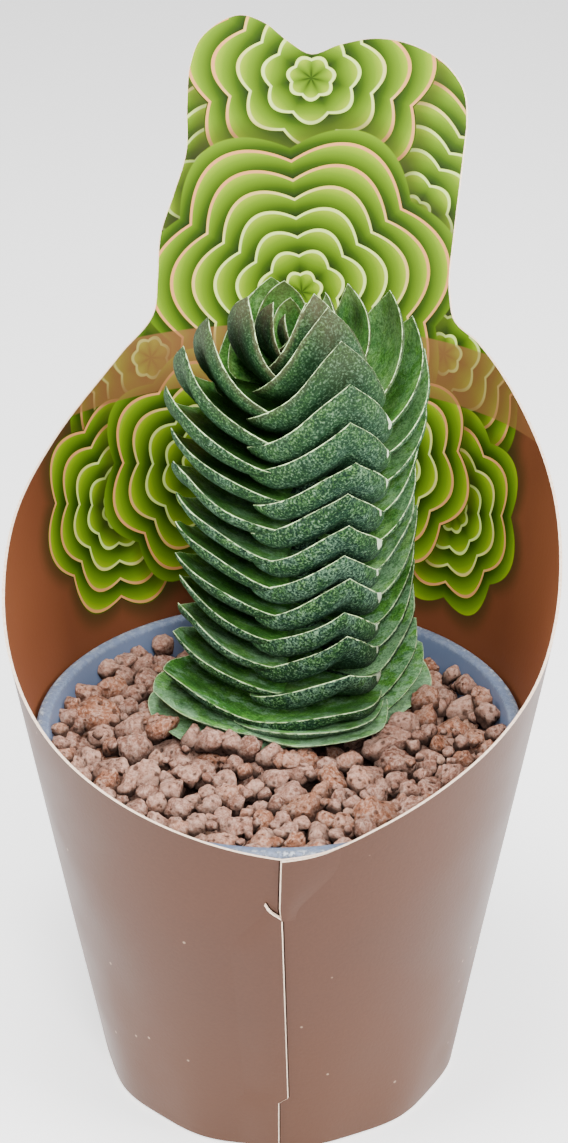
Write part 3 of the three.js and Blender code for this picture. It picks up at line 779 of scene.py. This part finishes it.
def make_leaf(random, curl, reach, rise, half_width, lobe, hollow, blunt, thickness, power):
    """Points of one leaf, its stem end on the Z axis and its tip towards +X, in mm.

    The flat leaf is given by the share of its length and the distance across. A share s of
    the length turns through s times the bend, on an ellipse whose half axes come from the
    reach and the rise. The blade is hollowed by the square of the distance across and waves
    a little along its rim, and the lower face lies the thickness below, all along the
    normal of that ellipse. A power of the width below 1 rounds the tip. With the points come
    three numbers for each: how far it is from the rim, a share that is 1 at the tip, and
    how far it is from the right corner.
    """
    bend = math.radians(curl)
    arc_reach = reach / math.sin(min(bend, math.pi / 2))
    arc_rise = rise / (1 - math.cos(bend))
    place, width, full = LEAF_EDGE.T
    beside_tip = np.clip(place / LEAF_OUTLINE[1][0], 0, 1)
    length = 1 - (1 - lobe) * place + blunt * (1 - place) * beside_tip
    waves = np.sin(width * random.uniform(4, 8) + random.uniform(0, 6))
    waves *= random.uniform(0.1, 0.35)
    across = np.sign(width) * np.abs(width) ** power * half_width

    def bent(rows, depth):
        share = rows[:, None] * length
        sideways = rows[:, None] * across
        angle = bend * share
        size = np.hypot(arc_rise * np.sin(angle), arc_reach * np.cos(angle))
        out, up = -arc_rise * np.sin(angle) / size, arc_reach * np.cos(angle) / size
        lift = hollow * sideways**2 / 2 + waves * rows[:, None] ** 4 - depth
        return np.stack([arc_reach * np.sin(angle) + out * lift, sideways + 0 * angle,
                         arc_rise * (1 - np.cos(angle)) + up * lift], -1)

    inward = 1 - BELOW[:, None]
    rounded = np.sqrt(np.clip(1 - (1 - inward / EDGE_ROUNDING) ** 2, 0, 1))
    thin = 1 + (THIN_AT_STEM - 1) * (inward - EDGE_ROUNDING) / (1 - EDGE_ROUNDING)
    depth = thickness * np.clip(full, 0, 1) * np.where(inward < EDGE_ROUNDING, rounded, thin)
    above = bent(ABOVE, 0.0)
    below = bent(BELOW, depth)[1:]
    hearts = np.array([[0, 0, 0], [0, 0, -thickness * THIN_AT_STEM]])
    points = np.concatenate([above.reshape(-1, 3), below.reshape(-1, 3), hearts])
    rim = [np.linalg.norm(grid - above[:1], axis=-1).ravel() for grid in (above, below)]
    tipward = [(rows[:, None] * (1 - np.abs(width))).ravel() for rows in (ABOVE, BELOW[1:])]
    corner = np.linalg.norm(points - above[0, RIGHT_CORNER], axis=1)
    return points, np.concatenate([*rim, [FAR, FAR]]), np.concatenate([*tipward, [0, 0]]), corner


# %% [markdown]
# ### The finishes of a leaf
# The upper face is a clear, slightly waxy green. The lower face is darker and blue-green,
# with a fine silvery grain of tiny dots like velvet. A pale line runs along the rim. The
# youngest leaves are darker and flushed with brown, the oldest are paler, as if dusted, and
# some corners are dry and pale. The mesh stores what the finishes need to know: how far
# each point is from the rim, how near the tip and a dry corner, how old the leaf is, and a
# tint of its own.

# %% The leaf finishes
def leaf_finish(name, shades, deep, deep_share, bloom, bloom_share, speckle, roughness):
    """Green by shade, with velvet grain, bloom, a pale rim and brownish young tips.

    shades are the dark, middle and light green. deep is the bluer, darker colour further in
    from the rim, whose darkness is partly painted shade, and bloom that of the waxy patches,
    each with the share it has at most. speckle is how strongly the dark and silvery grain
    shows. Each step below mixes one more colour in, by a share worked out from noise or from
    the numbers on the mesh.
    """
    finish = Finish(name, roughness, Specular_IOR_Level=0.1)
    rim = finish.number("rim")
    age = finish.number("age")
    tipward = finish.number("tipward")
    cloud = finish.noise(0.005, 3)
    fine = finish.noise(0.0014, 4, 0.7)
    tone = finish.sum("ADD", finish.sum("MULTIPLY", cloud, 0.45),
                      finish.sum("ADD", finish.sum("MULTIPLY", fine, 0.4),
                                 finish.sum("MULTIPLY", finish.number("tint"), 0.15)))
    colour = finish.ramp(tone, list(zip((0.39, 0.5, 0.61), shades)))
    # Further in from the rim the green turns bluer, which is the leaf's own colour, and darker,
    # which is painted shade where the leaves lie close over each other.
    colour = finish.mix(finish.between(rim, 0.0008, 0.0045, 0.0, deep_share), colour, deep)
    # Bloom lies in patches with clear borders, more on older leaves.
    older = finish.between(age, 0.6, 1.0, 0.0, 0.03)
    lighter = finish.between(finish.number("tint"), 0.0, 1.0, -0.03, 0.09)
    spread = finish.sum("ADD", finish.noise(0.0042, 6, 0.75), finish.sum("ADD", older, lighter))
    patches = finish.between(spread, 0.51, 0.58, 0.0, bloom_share)
    patches = finish.sum("MULTIPLY", patches, finish.between(age, 0.15, 0.6, 0.3, 1.0))
    colour = finish.mix(patches, colour, bloom)
    blotch = finish.noise(0.0018, 5, 0.75)
    colour = finish.mix(finish.between(blotch, 0.40, 0.50, 0.6, 0.0), colour, deep)
    # Velvet: dark and silvery grains, finer than half a millimetre.
    grain = finish.noise(0.00040, 3, 0.7)
    dark = finish.between(grain, 0.43, 0.53, speckle, 0.0)
    colour = finish.mix(dark, colour, (0.003, 0.014, 0.007))
    silver = finish.between(grain, 0.54, 0.64, 0.0, 0.4 * speckle)
    colour = finish.mix(silver, colour, (0.22, 0.36, 0.21))
    # Young leaves are darker, and their tips and rims are flushed with brown.
    growing = finish.between(age, 0.12, 0.5, 0.4, 0.0)
    colour = finish.mix(growing, colour, (0.010, 0.036, 0.006))
    young = finish.between(age, 0.0, 0.32, 1.0, 0.0)
    flush = finish.sum("MULTIPLY", young, finish.between(tipward, 0.45, 0.95, 0.0, 0.4))
    near_rim = finish.sum("MULTIPLY", young, finish.between(rim, 0.0, 0.0015, 0.45, 0.0))
    colour = finish.mix(finish.sum("MAXIMUM", flush, near_rim), colour, (0.130, 0.085, 0.050))
    # The pale line along the rim, uneven in width.
    uneven = finish.sum("SUBTRACT", finish.noise(0.0015, 3, 0.7), 0.35)
    from_rim = finish.sum("ADD", rim, finish.sum("MULTIPLY", uneven, 0.0007))
    line = finish.between(from_rim, 0.00014, 0.00027, 0.95, 0.0)
    colour = finish.mix(line, colour, (0.54, 0.72, 0.36))
    # The oldest leaves are paler, as if dusted.
    dust = finish.between(age, 0.9, 1.0, 0.0, 0.3)
    colour = finish.mix(finish.sum("MULTIPLY", dust, fine), colour, (0.42, 0.58, 0.40))
    # The dry corners, with a ragged border.
    ragged = finish.sum("MULTIPLY", finish.noise(0.0012, 4, 0.7), 0.9)
    dry = finish.between(finish.sum("ADD", finish.number("cap"), ragged), 0.85, 1.15)
    colour = finish.mix(dry, colour, (0.44, 0.52, 0.36))
    normal = finish.bump(finish.sum("ADD", grain, fine), 0.00012)
    normal = finish.bump(cloud, 0.0004, normal)
    return finish.wear(colour, normal=normal)


LEAF_FINISHES = [
    leaf_finish("leaf_upper_face",
                shades=[(0.036, 0.145, 0.014), (0.105, 0.310, 0.040), (0.240, 0.500, 0.130)],
                deep=(0.028, 0.130, 0.022), deep_share=0.3,
                bloom=(0.260, 0.460, 0.290), bloom_share=0.55, speckle=0.5, roughness=0.45),
    leaf_finish("leaf_lower_face",
                shades=[(0.007, 0.029, 0.005), (0.020, 0.066, 0.013), (0.050, 0.120, 0.030)],
                deep=(0.008, 0.030, 0.020), deep_share=0.75,
                bloom=(0.072, 0.128, 0.100), bloom_share=0.5, speckle=1.0, roughness=0.65),
]
print("leaf finishes:", [finish.name for finish in LEAF_FINISHES])

# %% Setting all the leaves on the stem
# Seen from above: the stem, the middle of the oldest leaves, the turn of the front row in
# degrees, and how far from the pot's axis a leaf may reach.
PLANT = np.array([3.3, 17.5]) * MM
FOOT = PLANT + np.array([-1.2, -2.4]) * MM
ROW_TURN = 22
POT_ROOM = 37.9 * MM
# How much leaves differ: degrees of turn, and shares of the reach and of the rise.
WANDER = 2
STRETCH = 0.02
RAISING = 0.03


def pair_centre(pair):
    """The middle of a pair: at PLANT down to pair 26, and from there off to FOOT at pair 29."""
    return PLANT + (FOOT - PLANT) * np.interp(pair, (26, 29), (0, 1))


def room_to_wall(turn, centre):
    """How far a leaf can reach from its centre before it comes near the pot's wall.

    That is where a straight line from the centre, in the direction of the turn, meets the
    circle with radius POT_ROOM about the pot's axis.
    """
    along = centre[0] * math.sin(turn) - centre[1] * math.cos(turn)
    return (math.sqrt(POT_ROOM**2 - centre @ centre + along**2) - along) / MM


def seeded_numbers(state):
    """Endless numbers from 0 to 1, by the same rule as in the source of the solids.

    The state is multiplied, a number is added, and what is left after whole turns of 2 to
    the power of 32 is the next state and, as a share of a turn, the number given out.
    """
    while True:
        state = (state * 1664525 + 1013904223) % 2**32
        yield state / 2**32


draws = seeded_numbers(7)
random = np.random.default_rng(7)


def placed_leaf(pair, row):
    """Points in metres and finish numbers of the leaf of one row at one place on the stem.

    The leaf is made by the tables, with a little chance in its turn, reach and rise, and set
    so that its tip comes to the table's height. A leaf with a short reach is thinner.
    """
    tip, rise, curl, reach, half_width, lobe, hollow, blunt = read_at(pair, GROWTH)
    row_turn, _, lift, more_rise, more_reach, more_width, full = row
    wander, stretch, raising = (2 * next(draws) - 1 for _ in range(3))
    turn = math.radians(ROW_TURN + row_turn + WANDER * wander)
    centre = pair_centre(pair)
    thickness = min(full, 0.6 + 0.11 * reach) * read_at(pair, THICKNESS_SHARE)[0]
    points, rim, tipward, corner = make_leaf(
        random, curl,
        min(reach * more_reach * (1 + STRETCH * stretch), room_to_wall(turn, centre)),
        rise * more_rise * (1 + RAISING * raising), half_width * more_width,
        lobe, hollow, blunt, thickness, read_at(pair, TIP_POWER)[0])
    along = np.array([math.sin(turn), -math.cos(turn)])
    across = np.array([math.cos(turn), math.sin(turn)])
    flat = points[:, :1] * along + points[:, 1:2] * across
    up = points[:, 2:] + tip - rise + lift
    # The right lobes of the front leaves end in a dry pale corner, and the leaves of the
    # right row catch more dust.
    worn = random.uniform(1.2, 2.5) if row_turn == 0 and 8 < pair < 29 else 0
    numbers = {"rim": rim * MM, "tipward": tipward, "cap": smooth_step((worn - corner) / 0.6),
               "age": pair / (PAIRS - 1), "tint": random.uniform(0, 0.6) + 0.4 * (row_turn == 90)}
    return np.concatenate([flat * MM + centre, up * MM], -1), numbers


leaves = [placed_leaf(pair, row) for pair in range(PAIRS) for row in ROWS if pair % 2 == row[1]]
# One leaf more at the front of the foot, between pairs 29 and 31.
leaves.append(placed_leaf(30.15, ROWS[0]))
print(len(leaves), "leaves")

# %% [markdown]
# ### The column and the stem
# All the leaves are joined into one mesh, because they share their finishes and never move
# apart. They hide the stem, but it holds them and stands in the soil, so it is there as a
# slender turned rod from under the gravel to the topmost leaves.

# %% The leaves as one piece
leaf_size = len(leaves[0][0])
leaf_points = np.concatenate([leaf[0] for leaf in leaves])
leaf_faces_all = []
for place in range(len(leaves)):
    leaf_faces_all += [[corner + place * leaf_size for corner in face] for face in LEAF_FACES]
plant = new_piece("leafy_column", leaf_points, leaf_faces_all, LEAF_FINISHES,
                  LEAF_NUMBERS * len(leaves), sharp_angle=60)
for name in leaves[0][1]:
    values = [numbers[name] + np.zeros(leaf_size) for _, numbers in leaves]
    give_number(plant, name, np.concatenate(values))
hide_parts("leafy_stem")

# %% The stem
# Radius and height in mm.
STEM_PROFILE = [(3.8, 33), (4, 33.3), (4, 107), (2.6, 122), (1.6, 131), (1.2, 132)]
STEM_SIDES = 24
stem = turned_body("plant_stem", STEM_PROFILE, STEM_SIDES, [LEAF_FINISHES[1]])
stem.data.transform(Matrix.Translation((PLANT[0], PLANT[1], 0)))
for name, value in (("rim", 0.01), ("tipward", 0.0), ("age", 0.9), ("tint", 0.5), ("cap", 0.0)):
    give_number(stem, name, np.full(len(stem.data.vertices), value))

# %% [markdown]
# ## The lava gravel
# Lava stones are broken lumps full of gas holes. A stone starts as a fine ball. Several
# random planes flatten it, as breaking does, and then waves of different directions make
# its faces uneven. Gas holes are sunk into the stones on top, and the finest holes are
# relief in the finish; the finish also paints shade into both. The stones lie in three
# layers, with smaller ones along the wall and in the gaps, and a few that have rolled
# against the plant's foot. A rough bed under them all closes what is still open, painted
# nearly black as the shade in the gaps.

# %% The lava finish
def lava():
    """Mauve to rust-red rock, tone by stone, gritty, with painted shade in its gas holes and pores,
    down its flanks and low down.
    """
    finish = Finish("lava", 0.95, Specular_IOR_Level=0.15)
    colour = finish.ramp(finish.number("tone"), [
        (0.0, (0.32, 0.145, 0.098)), (0.35, (0.47, 0.235, 0.165)), (0.65, (0.62, 0.335, 0.240)),
        (0.8, (0.47, 0.190, 0.105)), (0.93, (0.43, 0.165, 0.085)), (1.0, (0.66, 0.40, 0.28))])
    mottle = finish.noise(0.003, 5, 0.7)
    colour = finish.mix(finish.between(mottle, 0.45, 0.62, 0.0, 0.25), colour, (0.64, 0.43, 0.34))
    colour = finish.mix(finish.between(mottle, 0.36, 0.48, 0.3, 0.0), colour, (0.19, 0.078, 0.052))
    grit = finish.noise(0.0008, 5, 0.75)
    colour = finish.mix(finish.between(grit, 0.47, 0.60, 0.0, 0.6), colour, (0.78, 0.53, 0.42))
    colour = finish.mix(finish.between(grit, 0.36, 0.48, 0.5, 0.0), colour, (0.085, 0.034, 0.022))
    # Painted shade in the fine pores and in the gas holes.
    pore = finish.cells(0.0011)
    colour = finish.mix(finish.between(pore, 0.08, 0.2, 0.5, 0.0), colour, (0.030, 0.012, 0.008))
    hole = finish.between(finish.number("hollow"), 0.3, 1.0, 0.0, 0.75)
    colour = finish.mix(hole, colour, (0.045, 0.018, 0.012))
    # Painted shade: darker down each stone's flank and lower in the pot, as little light comes down
    # between the stones.
    painted_flank_shade = finish.between(finish.number("below"), 0.2, 1.15, 0.0, 0.92)
    height = finish.add("ShaderNodeSeparateXYZ", {0: finish.place}).outputs[2]
    deep = finish.between(height, 0.0585, 0.0628, 0.92, 0.0)
    colour = finish.mix(finish.sum("MAXIMUM", painted_flank_shade, deep), colour, (0.020, 0.009, 0.006))
    normal = finish.bump(finish.sum("ADD", mottle, finish.between(pore, 0.1, 0.3)), 0.0004)
    return finish.wear(colour, normal=finish.bump(grit, 0.0012, normal))


LAVA = lava()

# %% A ball at several levels of detail
# The levels for the deep stones, for those under the top ones, for the top ones, and for
# the largest of these.
DEEP, UNDER, TOP, FINEST = 2, 3, 4, 5


def ball(level):
    """Points and triangles of a ball of radius 1: 20 triangles, cut in four level - 1 times."""
    bpy.ops.mesh.primitive_ico_sphere_add(subdivisions=level, radius=1)
    shape = bpy.context.object
    points = np.empty(len(shape.data.vertices) * 3)
    shape.data.vertices.foreach_get("co", points)
    faces = np.array([face.vertices[:] for face in shape.data.polygons])
    bpy.data.objects.remove(shape)
    return points.reshape(-1, 3), faces


BALLS = {level: ball(level) for level in (DEEP, UNDER, TOP, FINEST)}
print("triangles of a stone by level:", {level: len(faces) for level, (_, faces) in BALLS.items()})

# %% One stone
STONE_PLANES = 9
PUSHED_BACK = 0.95
# Wavelength and height of the waves on a stone of radius 1, and how many of each there are.
STONE_WAVES = [(1.3, 0.03), (0.7, 0.016), (0.42, 0.012), (0.28, 0.008)]
WAVES_OF_A_KIND = 5
GAS_HOLES = {DEEP: 0, UNDER: 0, TOP: 9, FINEST: 18}


def lava_stone(random, level):
    """One stone of radius about 1, and how deep in a gas hole each point lies, 0 to 1.

    A plane pushes what lies beyond it most of the way back. A lump is a sine wave through
    the ball. A gas hole has its middle on the surface, a flat floor and steep sides.
    """
    points = BALLS[level][0].copy()
    for _ in range(STONE_PLANES):
        normal = random.normal(size=3)
        normal /= np.linalg.norm(normal)
        beyond = points @ normal - random.uniform(0.55, 0.88)
        points -= np.clip(beyond, 0, None)[:, None] * normal * PUSHED_BACK
    for wavelength, height in STONE_WAVES:
        for _ in range(WAVES_OF_A_KIND):
            direction = random.normal(size=3)
            direction *= 2 * math.pi / wavelength / np.linalg.norm(direction)
            wave = np.sin(points @ direction + random.uniform(0, 2 * math.pi))
            points *= 1 + height * wave[:, None]
    hollow = np.zeros(len(points))
    for _ in range(GAS_HOLES[level]):
        middle = points[random.integers(len(points))]
        width = random.uniform(0.07, 0.16) * (1.3 if level == TOP else 1)
        sunk = smooth_step(1.5 - np.linalg.norm(points - middle, axis=1) / width)
        points *= 1 - 0.6 * width * sunk[:, None]
        hollow = np.maximum(hollow, sunk)
    return points * random.uniform([0.97, 0.87, 0.78], [1.2, 1.06, 1.0]), hollow


def turn_matrix(random):
    """A random turn: three random directions made square to each other."""
    return np.linalg.qr(random.normal(size=(3, 3)))[0]


# %% [markdown]
# ### Where the stones lie
# The pot leaves a ring between the plant and the wall. Stones keep clear of the wall, and
# those that slide under the lowest leaves have lower tops. The leaves cover a square that
# stands on one corner, so the distance to it is measured along its two diagonals. A stone
# that still lies below a leaf is sunk until its top is under the leaf's lowest point there.

# %% The ring for the stones
# Half the diagonal of the leaves' square, the pot's inside, and the leaf points that can
# touch a stone.
LEAF_SQUARE = 25.6 * MM
GRAVEL_WALL = 39.2 * MM
LOW_LEAVES = leaf_points[leaf_points[:, 2] < 72 * MM]
square_turn = math.radians(ROW_TURN)
ALONG = np.array([math.sin(square_turn), -math.cos(square_turn)])
ACROSS = np.array([math.cos(square_turn), math.sin(square_turn)])
print(len(LOW_LEAVES), "points of leaves near the stones")


def outside_leaves(place):
    """How far a place is outside the square that the lowest leaves cover.

    Along and across are the distances on the square's diagonals. Their sum is the same all
    along a side, and it grows by the root of 2 for each step away from it.
    """
    off = place - FOOT
    along = off[..., 0] * ALONG[0] + off[..., 1] * ALONG[1]
    across = off[..., 0] * ACROSS[0] + off[..., 1] * ACROSS[1]
    return (np.abs(along) + np.abs(across) - LEAF_SQUARE) / math.sqrt(2)


# %% Places for the stones
# Half the width of the square in which places are drawn, in mm, and the share of the sum of
# their radii at which two stones touch, because they aren't round.
DRAWN_WITHIN = 38
TOUCHING = 0.84
ROUNDS = 150


def shaken_places(random, radii, clearance):
    """Places for stones of the given radii, pushed apart until they only just touch.

    In each round every two stones that overlap move apart by half the overlap, and stones
    beyond the wall or nearer than clearance to the leaves are moved back.
    """
    places = random.uniform(-DRAWN_WITHIN, DRAWN_WITHIN, (len(radii), 2)) * MM
    touching = (radii[:, None] + radii) * TOUCHING
    for _ in range(ROUNDS):
        apart = places[:, None] - places
        gap = np.linalg.norm(apart, axis=-1) + 1e-9
        push = np.clip(touching - gap, 0, None) * (1 - np.eye(len(radii)))
        places = places + 0.5 * (apart * (push / gap)[..., None]).sum(1)
        short = np.clip(clearance - outside_leaves(places), 0, None)[:, None] / math.sqrt(2)
        off = places - FOOT
        places = places + short * (np.sign(off @ ALONG)[:, None] * ALONG
                                   + np.sign(off @ ACROSS)[:, None] * ACROSS)
        away = np.linalg.norm(places, axis=1)
        places *= np.minimum(1, (GRAVEL_WALL - radii) / away)[:, None]
    return places


# %% Smaller stones for the gaps
GAP_TRIES = 400
SMALLEST_GAP = 0.6 * MM
LARGEST_IN_GAP = 2.4 * MM
LEAF_CLEARANCE = 0.5 * MM


def gap_stones(random, places, radii, count):
    """Places and radii of up to count more stones, each in the widest gap of many tries.

    A gap's radius is the least distance to any stone, to the wall and to the leaves. Its
    stone is a fifth larger, because the stones around it aren't round either.
    """
    first = len(radii)
    for _ in range(count):
        spots = random.uniform(-DRAWN_WITHIN, DRAWN_WITHIN, (GAP_TRIES, 2)) * MM
        apart = np.linalg.norm(spots[:, None] - places, axis=-1)
        to_wall = GRAVEL_WALL - np.linalg.norm(spots, axis=1)
        gap = np.minimum((apart - 0.82 * radii).min(1), to_wall)
        gap = np.minimum(gap, outside_leaves(spots) - LEAF_CLEARANCE)
        best = np.argmax(gap)
        if gap[best] < SMALLEST_GAP:
            continue
        places = np.concatenate([places, spots[best:best + 1]])
        radii = np.append(radii, min(1.2 * gap[best], LARGEST_IN_GAP))
    return places[first:], radii[first:]


# %% Laying the stones
# On top, stones larger than the first size and in front of this depth get the finest ball,
# and stones smaller than the second size a coarser one.
LARGE_STONE = 2.9 * MM
SMALL_STONE = 1.7 * MM
FRONT_UP_TO = 10 * MM
LEAF_GAP = 0.2 * MM


def lay_stones(random, places, radii, top, top_spread, level, sink=True):
    """Stones of the given radii with their highest points at about the given heights.

    With each come the numbers for its finish: its tone, how deep in a gas hole and how far
    below its top each point lies, the last in radii. Where sink is true, a stone under a
    leaf is set lower.
    """
    laid = []
    for place, radius, middle in zip(places, radii, np.broadcast_to(top, len(radii))):
        fine = level
        if level == TOP and radius > LARGE_STONE and place[1] < FRONT_UP_TO:
            fine = FINEST
        if level == TOP and radius < SMALL_STONE:
            fine = UNDER
        stone, hollow = lava_stone(random, fine)
        stone = stone @ turn_matrix(random).T * radius
        height = middle + top_spread * random.uniform(-1, 1)
        above = np.linalg.norm(LOW_LEAVES[:, :2] - place, axis=1) < radius
        if sink and above.any():
            height = min(height, LOW_LEAVES[above, 2].min() - LEAF_GAP)
        highest = stone[:, 2].max()
        below = (highest - stone[:, 2]) / radius
        stone = stone + [*place, height - highest]
        laid.append((stone, {"tone": random.uniform(0, 1), "hollow": hollow, "below": below}, fine))
    return laid


def stone_piece(name, stones):
    """One piece of many stones, with the numbers that their finish reads."""
    starts = np.cumsum([0] + [len(points) for points, _, _ in stones])
    faces = [BALLS[level][1] + start for (_, _, level), start in zip(stones, starts)]
    piece = new_piece(name, np.concatenate([points for points, _, _ in stones]),
                      np.concatenate(faces), [LAVA], sharp_angle=75)
    for number in ("tone", "hollow", "below"):
        give_number(piece, number, np.concatenate([values[number] + np.zeros(len(points))
                                                   for points, values, _ in stones]))
    return piece


# %% Sizes and places of the stones
# All sizes are radii. The large, middle and small stones on top are drawn apart.
random = np.random.default_rng(12)
deep_sizes = random.uniform(2.8, 3.8, 95) * MM
under_sizes = random.uniform(2.2, 3.2, 70) * MM
top_sizes = np.concatenate([random.uniform(3.7, 4.5, 14), random.uniform(2.8, 3.6, 44),
                            random.uniform(2.0, 2.7, 40)]) * MM
top_places = shaken_places(random, top_sizes, 0.9 * top_sizes + 0.8 * MM)
# The stones along the wall stand at even turns, each a little off, and lean on the wall.
WALL_STONES = 44
wall_sizes = random.uniform(1.6, 2.7, WALL_STONES) * MM
wall_steps = np.arange(WALL_STONES) + random.uniform(-0.3, 0.3, WALL_STONES)
wall_turn = wall_steps * 2 * math.pi / WALL_STONES
wall_way = np.stack([np.sin(wall_turn), np.cos(wall_turn)], -1)
wall_places = (GRAVEL_WALL - 0.55 * wall_sizes)[:, None] * wall_way
GAP_STONES = 150
gap_places, gap_sizes = gap_stones(random, np.concatenate([top_places, wall_places]),
                                   np.concatenate([top_sizes, wall_sizes]), GAP_STONES)
print("stones in gaps:", len(gap_sizes), "of radius", (gap_sizes.min() / MM, gap_sizes.max() / MM))
# Stones that have rolled against the lowest leaves: x, y, height of the top, and radius.
ROLLED = np.array([
    (-20.6, 1.6, 68.2, 3.1), (-15.2, -1.6, 67.8, 2.5), (-11.6, -2.6, 68.6, 3.4),
    (-8.0, -3.4, 68.0, 2.4), (-5.2, -4.6, 68.0, 2.7), (-1.2, -6.6, 67.6, 2.9),
    (2.2, -8.6, 66.8, 2.2), (4.6, -8.0, 67.0, 2.7), (8.2, -9.4, 66.6, 2.3),
    (12.0, -8.0, 66.9, 2.6), (17.6, -2.8, 66.8, 2.8), (22.0, 3.0, 67.8, 3.1),
    (26.0, 11.4, 68.2, 3.2), (26.2, 6.2, 67.2, 2.5),
]) * MM

# %% The stones in three pieces
# Each layer has the height of its tops, and how far they differ from it.
deep_places = shaken_places(random, deep_sizes, -6 * MM)
layers = lay_stones(random, deep_places, deep_sizes, 62.0 * MM, 0.8 * MM, DEEP)
under_places = shaken_places(random, under_sizes, -2 * MM)
layers += lay_stones(random, under_places, under_sizes, 63 * MM, 0.6 * MM, UNDER)
layers += lay_stones(random, top_places, top_sizes, 65.9 * MM, 1.3 * MM, TOP)
fillers = lay_stones(random, wall_places, wall_sizes, 67.5 * MM, 0.9 * MM, TOP)
fillers += lay_stones(random, gap_places, gap_sizes, 65.3 * MM, 0.9 * MM, TOP)
fillers += lay_stones(random, ROLLED[:, :2], ROLLED[:, 3], ROLLED[:, 2], 0, TOP, sink=False)
gravel = stone_piece("lava_gravel", [stone for stone in layers if stone[2] < FINEST])
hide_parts("gravel")
stone_piece("lava_gravel_fillers", [stone for stone in fillers if stone[2] < FINEST])
stone_piece("lava_gravel_large", [stone for stone in layers + fillers if stone[2] == FINEST])
print(len(layers), "stones in layers and", len(fillers), "between and upon them")

# %% The bed under the stones
# The drum's size, its rings and spokes of points, and the waves on its top.
BED_RADIUS = 37.6 * MM
BED_TOP = 59.4 * MM
BED_DEPTH = 8 * MM
BED_RINGS = 28
BED_SPOKES = 96
BED_WAVES = 8
BED_WAVE_HEIGHT = 0.35 * MM
# Radians that a wave turns through in a metre, for a direction of length 1.
BED_WAVE_RATE = 900


def rough_bed(random):
    """A shallow drum whose top is uneven: the sum of sine waves in many directions."""
    inner = np.linspace(BED_RADIUS, 0.1 * MM, BED_RINGS)[1:]
    radius = np.array([BED_RADIUS * 0.9, BED_RADIUS, *inner])[:, None]
    angle = np.linspace(0, 2 * math.pi, BED_SPOKES, endpoint=False)
    x = radius * np.sin(angle)
    y = -radius * np.cos(angle)
    z = BED_TOP + 0 * x
    z[0] -= BED_DEPTH
    for _ in range(BED_WAVES):
        direction = random.normal(size=2) * BED_WAVE_RATE
        z[2:] += BED_WAVE_HEIGHT * np.sin(direction[0] * x[2:] + direction[1] * y[2:])
    return np.stack([x, y, z], -1)


bed_grid = rough_bed(random)
bed_rows, bed_faces = round_quads(*bed_grid.shape[:2])
bed_faces += [bed_rows[-1].tolist(), bed_rows[0][::-1].tolist()]
bed = new_piece("gravel_bed", bed_grid.reshape(-1, 3), bed_faces, [LAVA])
# The bed takes the darkest colour of the lava: painted shade in the gaps between the stones.
for name, value in (("tone", 0), ("hollow", 1), ("below", 1)):
    give_number(bed, name, np.full(bed_rows.size, value))

# %% [markdown]
# ## Floor, light and camera
# The photograph is a studio shot on white, with soft light from all round. A white floor
# that glows, an even white world and four soft lamps give the same. The camera stands in
# front and looks down by 27 degrees, which makes the pot's round lip, the card's edges and
# the foot of the sleeve fall where the photograph has them.

# %% Floor and light
bpy.ops.mesh.primitive_plane_add(size=6, location=(0, 0, 0))
floor = bpy.context.object
floor.name = "floor"
floor_finish = Finish("floor_white", 0.8)
floor_finish.shader.inputs["Base Color"].default_value = (0.86, 0.86, 0.86, 1)
floor_finish.shader.inputs["Emission Color"].default_value = (1, 1, 1, 1)
floor_finish.shader.inputs["Emission Strength"].default_value = 1.0
floor.data.materials.append(floor_finish.material)

world = bpy.data.worlds.new("studio")
bpy.context.scene.world = world
world.use_nodes = True
world.node_tree.nodes["Background"].inputs["Color"].default_value = (1, 1, 1, 1)
world.node_tree.nodes["Background"].inputs["Strength"].default_value = 0.34


def soft_lamp(name, place, aim, size, watts):
    """A square lamp that looks from its place to its aim."""
    lamp = bpy.data.lights.new(name, "AREA")
    lamp.size = size
    lamp.energy = watts
    holder = bpy.data.objects.new(name, lamp)
    holder.location = place
    holder.rotation_euler = (Vector(aim) - Vector(place)).to_track_quat("-Z", "Y").to_euler()
    bpy.context.scene.collection.objects.link(holder)


soft_lamp("key_lamp", (0.10, -0.62, 0.58), (0, 0.01, 0.09), 0.25, 9)
soft_lamp("top_lamp", (-0.05, -0.05, 0.9), (0, 0.01, 0.09), 0.25, 7)
soft_lamp("left_lamp", (-0.70, -0.20, 0.30), (0, 0.01, 0.06), 0.5, 12)
soft_lamp("right_lamp", (0.70, -0.20, 0.34), (0, 0.01, 0.06), 0.5, 15)

# %% The camera
CAMERA_PLACE = (0.00015, -0.34295, 0.27499)
# Degrees below the level, and degrees to the left of straight ahead.
CAMERA_DOWN = 27.367
CAMERA_LEFT = -0.117
camera_data = bpy.data.cameras.new("camera")
camera_data.lens = 72.14
camera_data.sensor_width = 36
camera = bpy.data.objects.new("camera", camera_data)
camera.location = CAMERA_PLACE
camera.rotation_euler = (math.radians(90 - CAMERA_DOWN), 0, math.radians(CAMERA_LEFT))
bpy.context.scene.collection.objects.link(camera)
bpy.context.scene.camera = camera
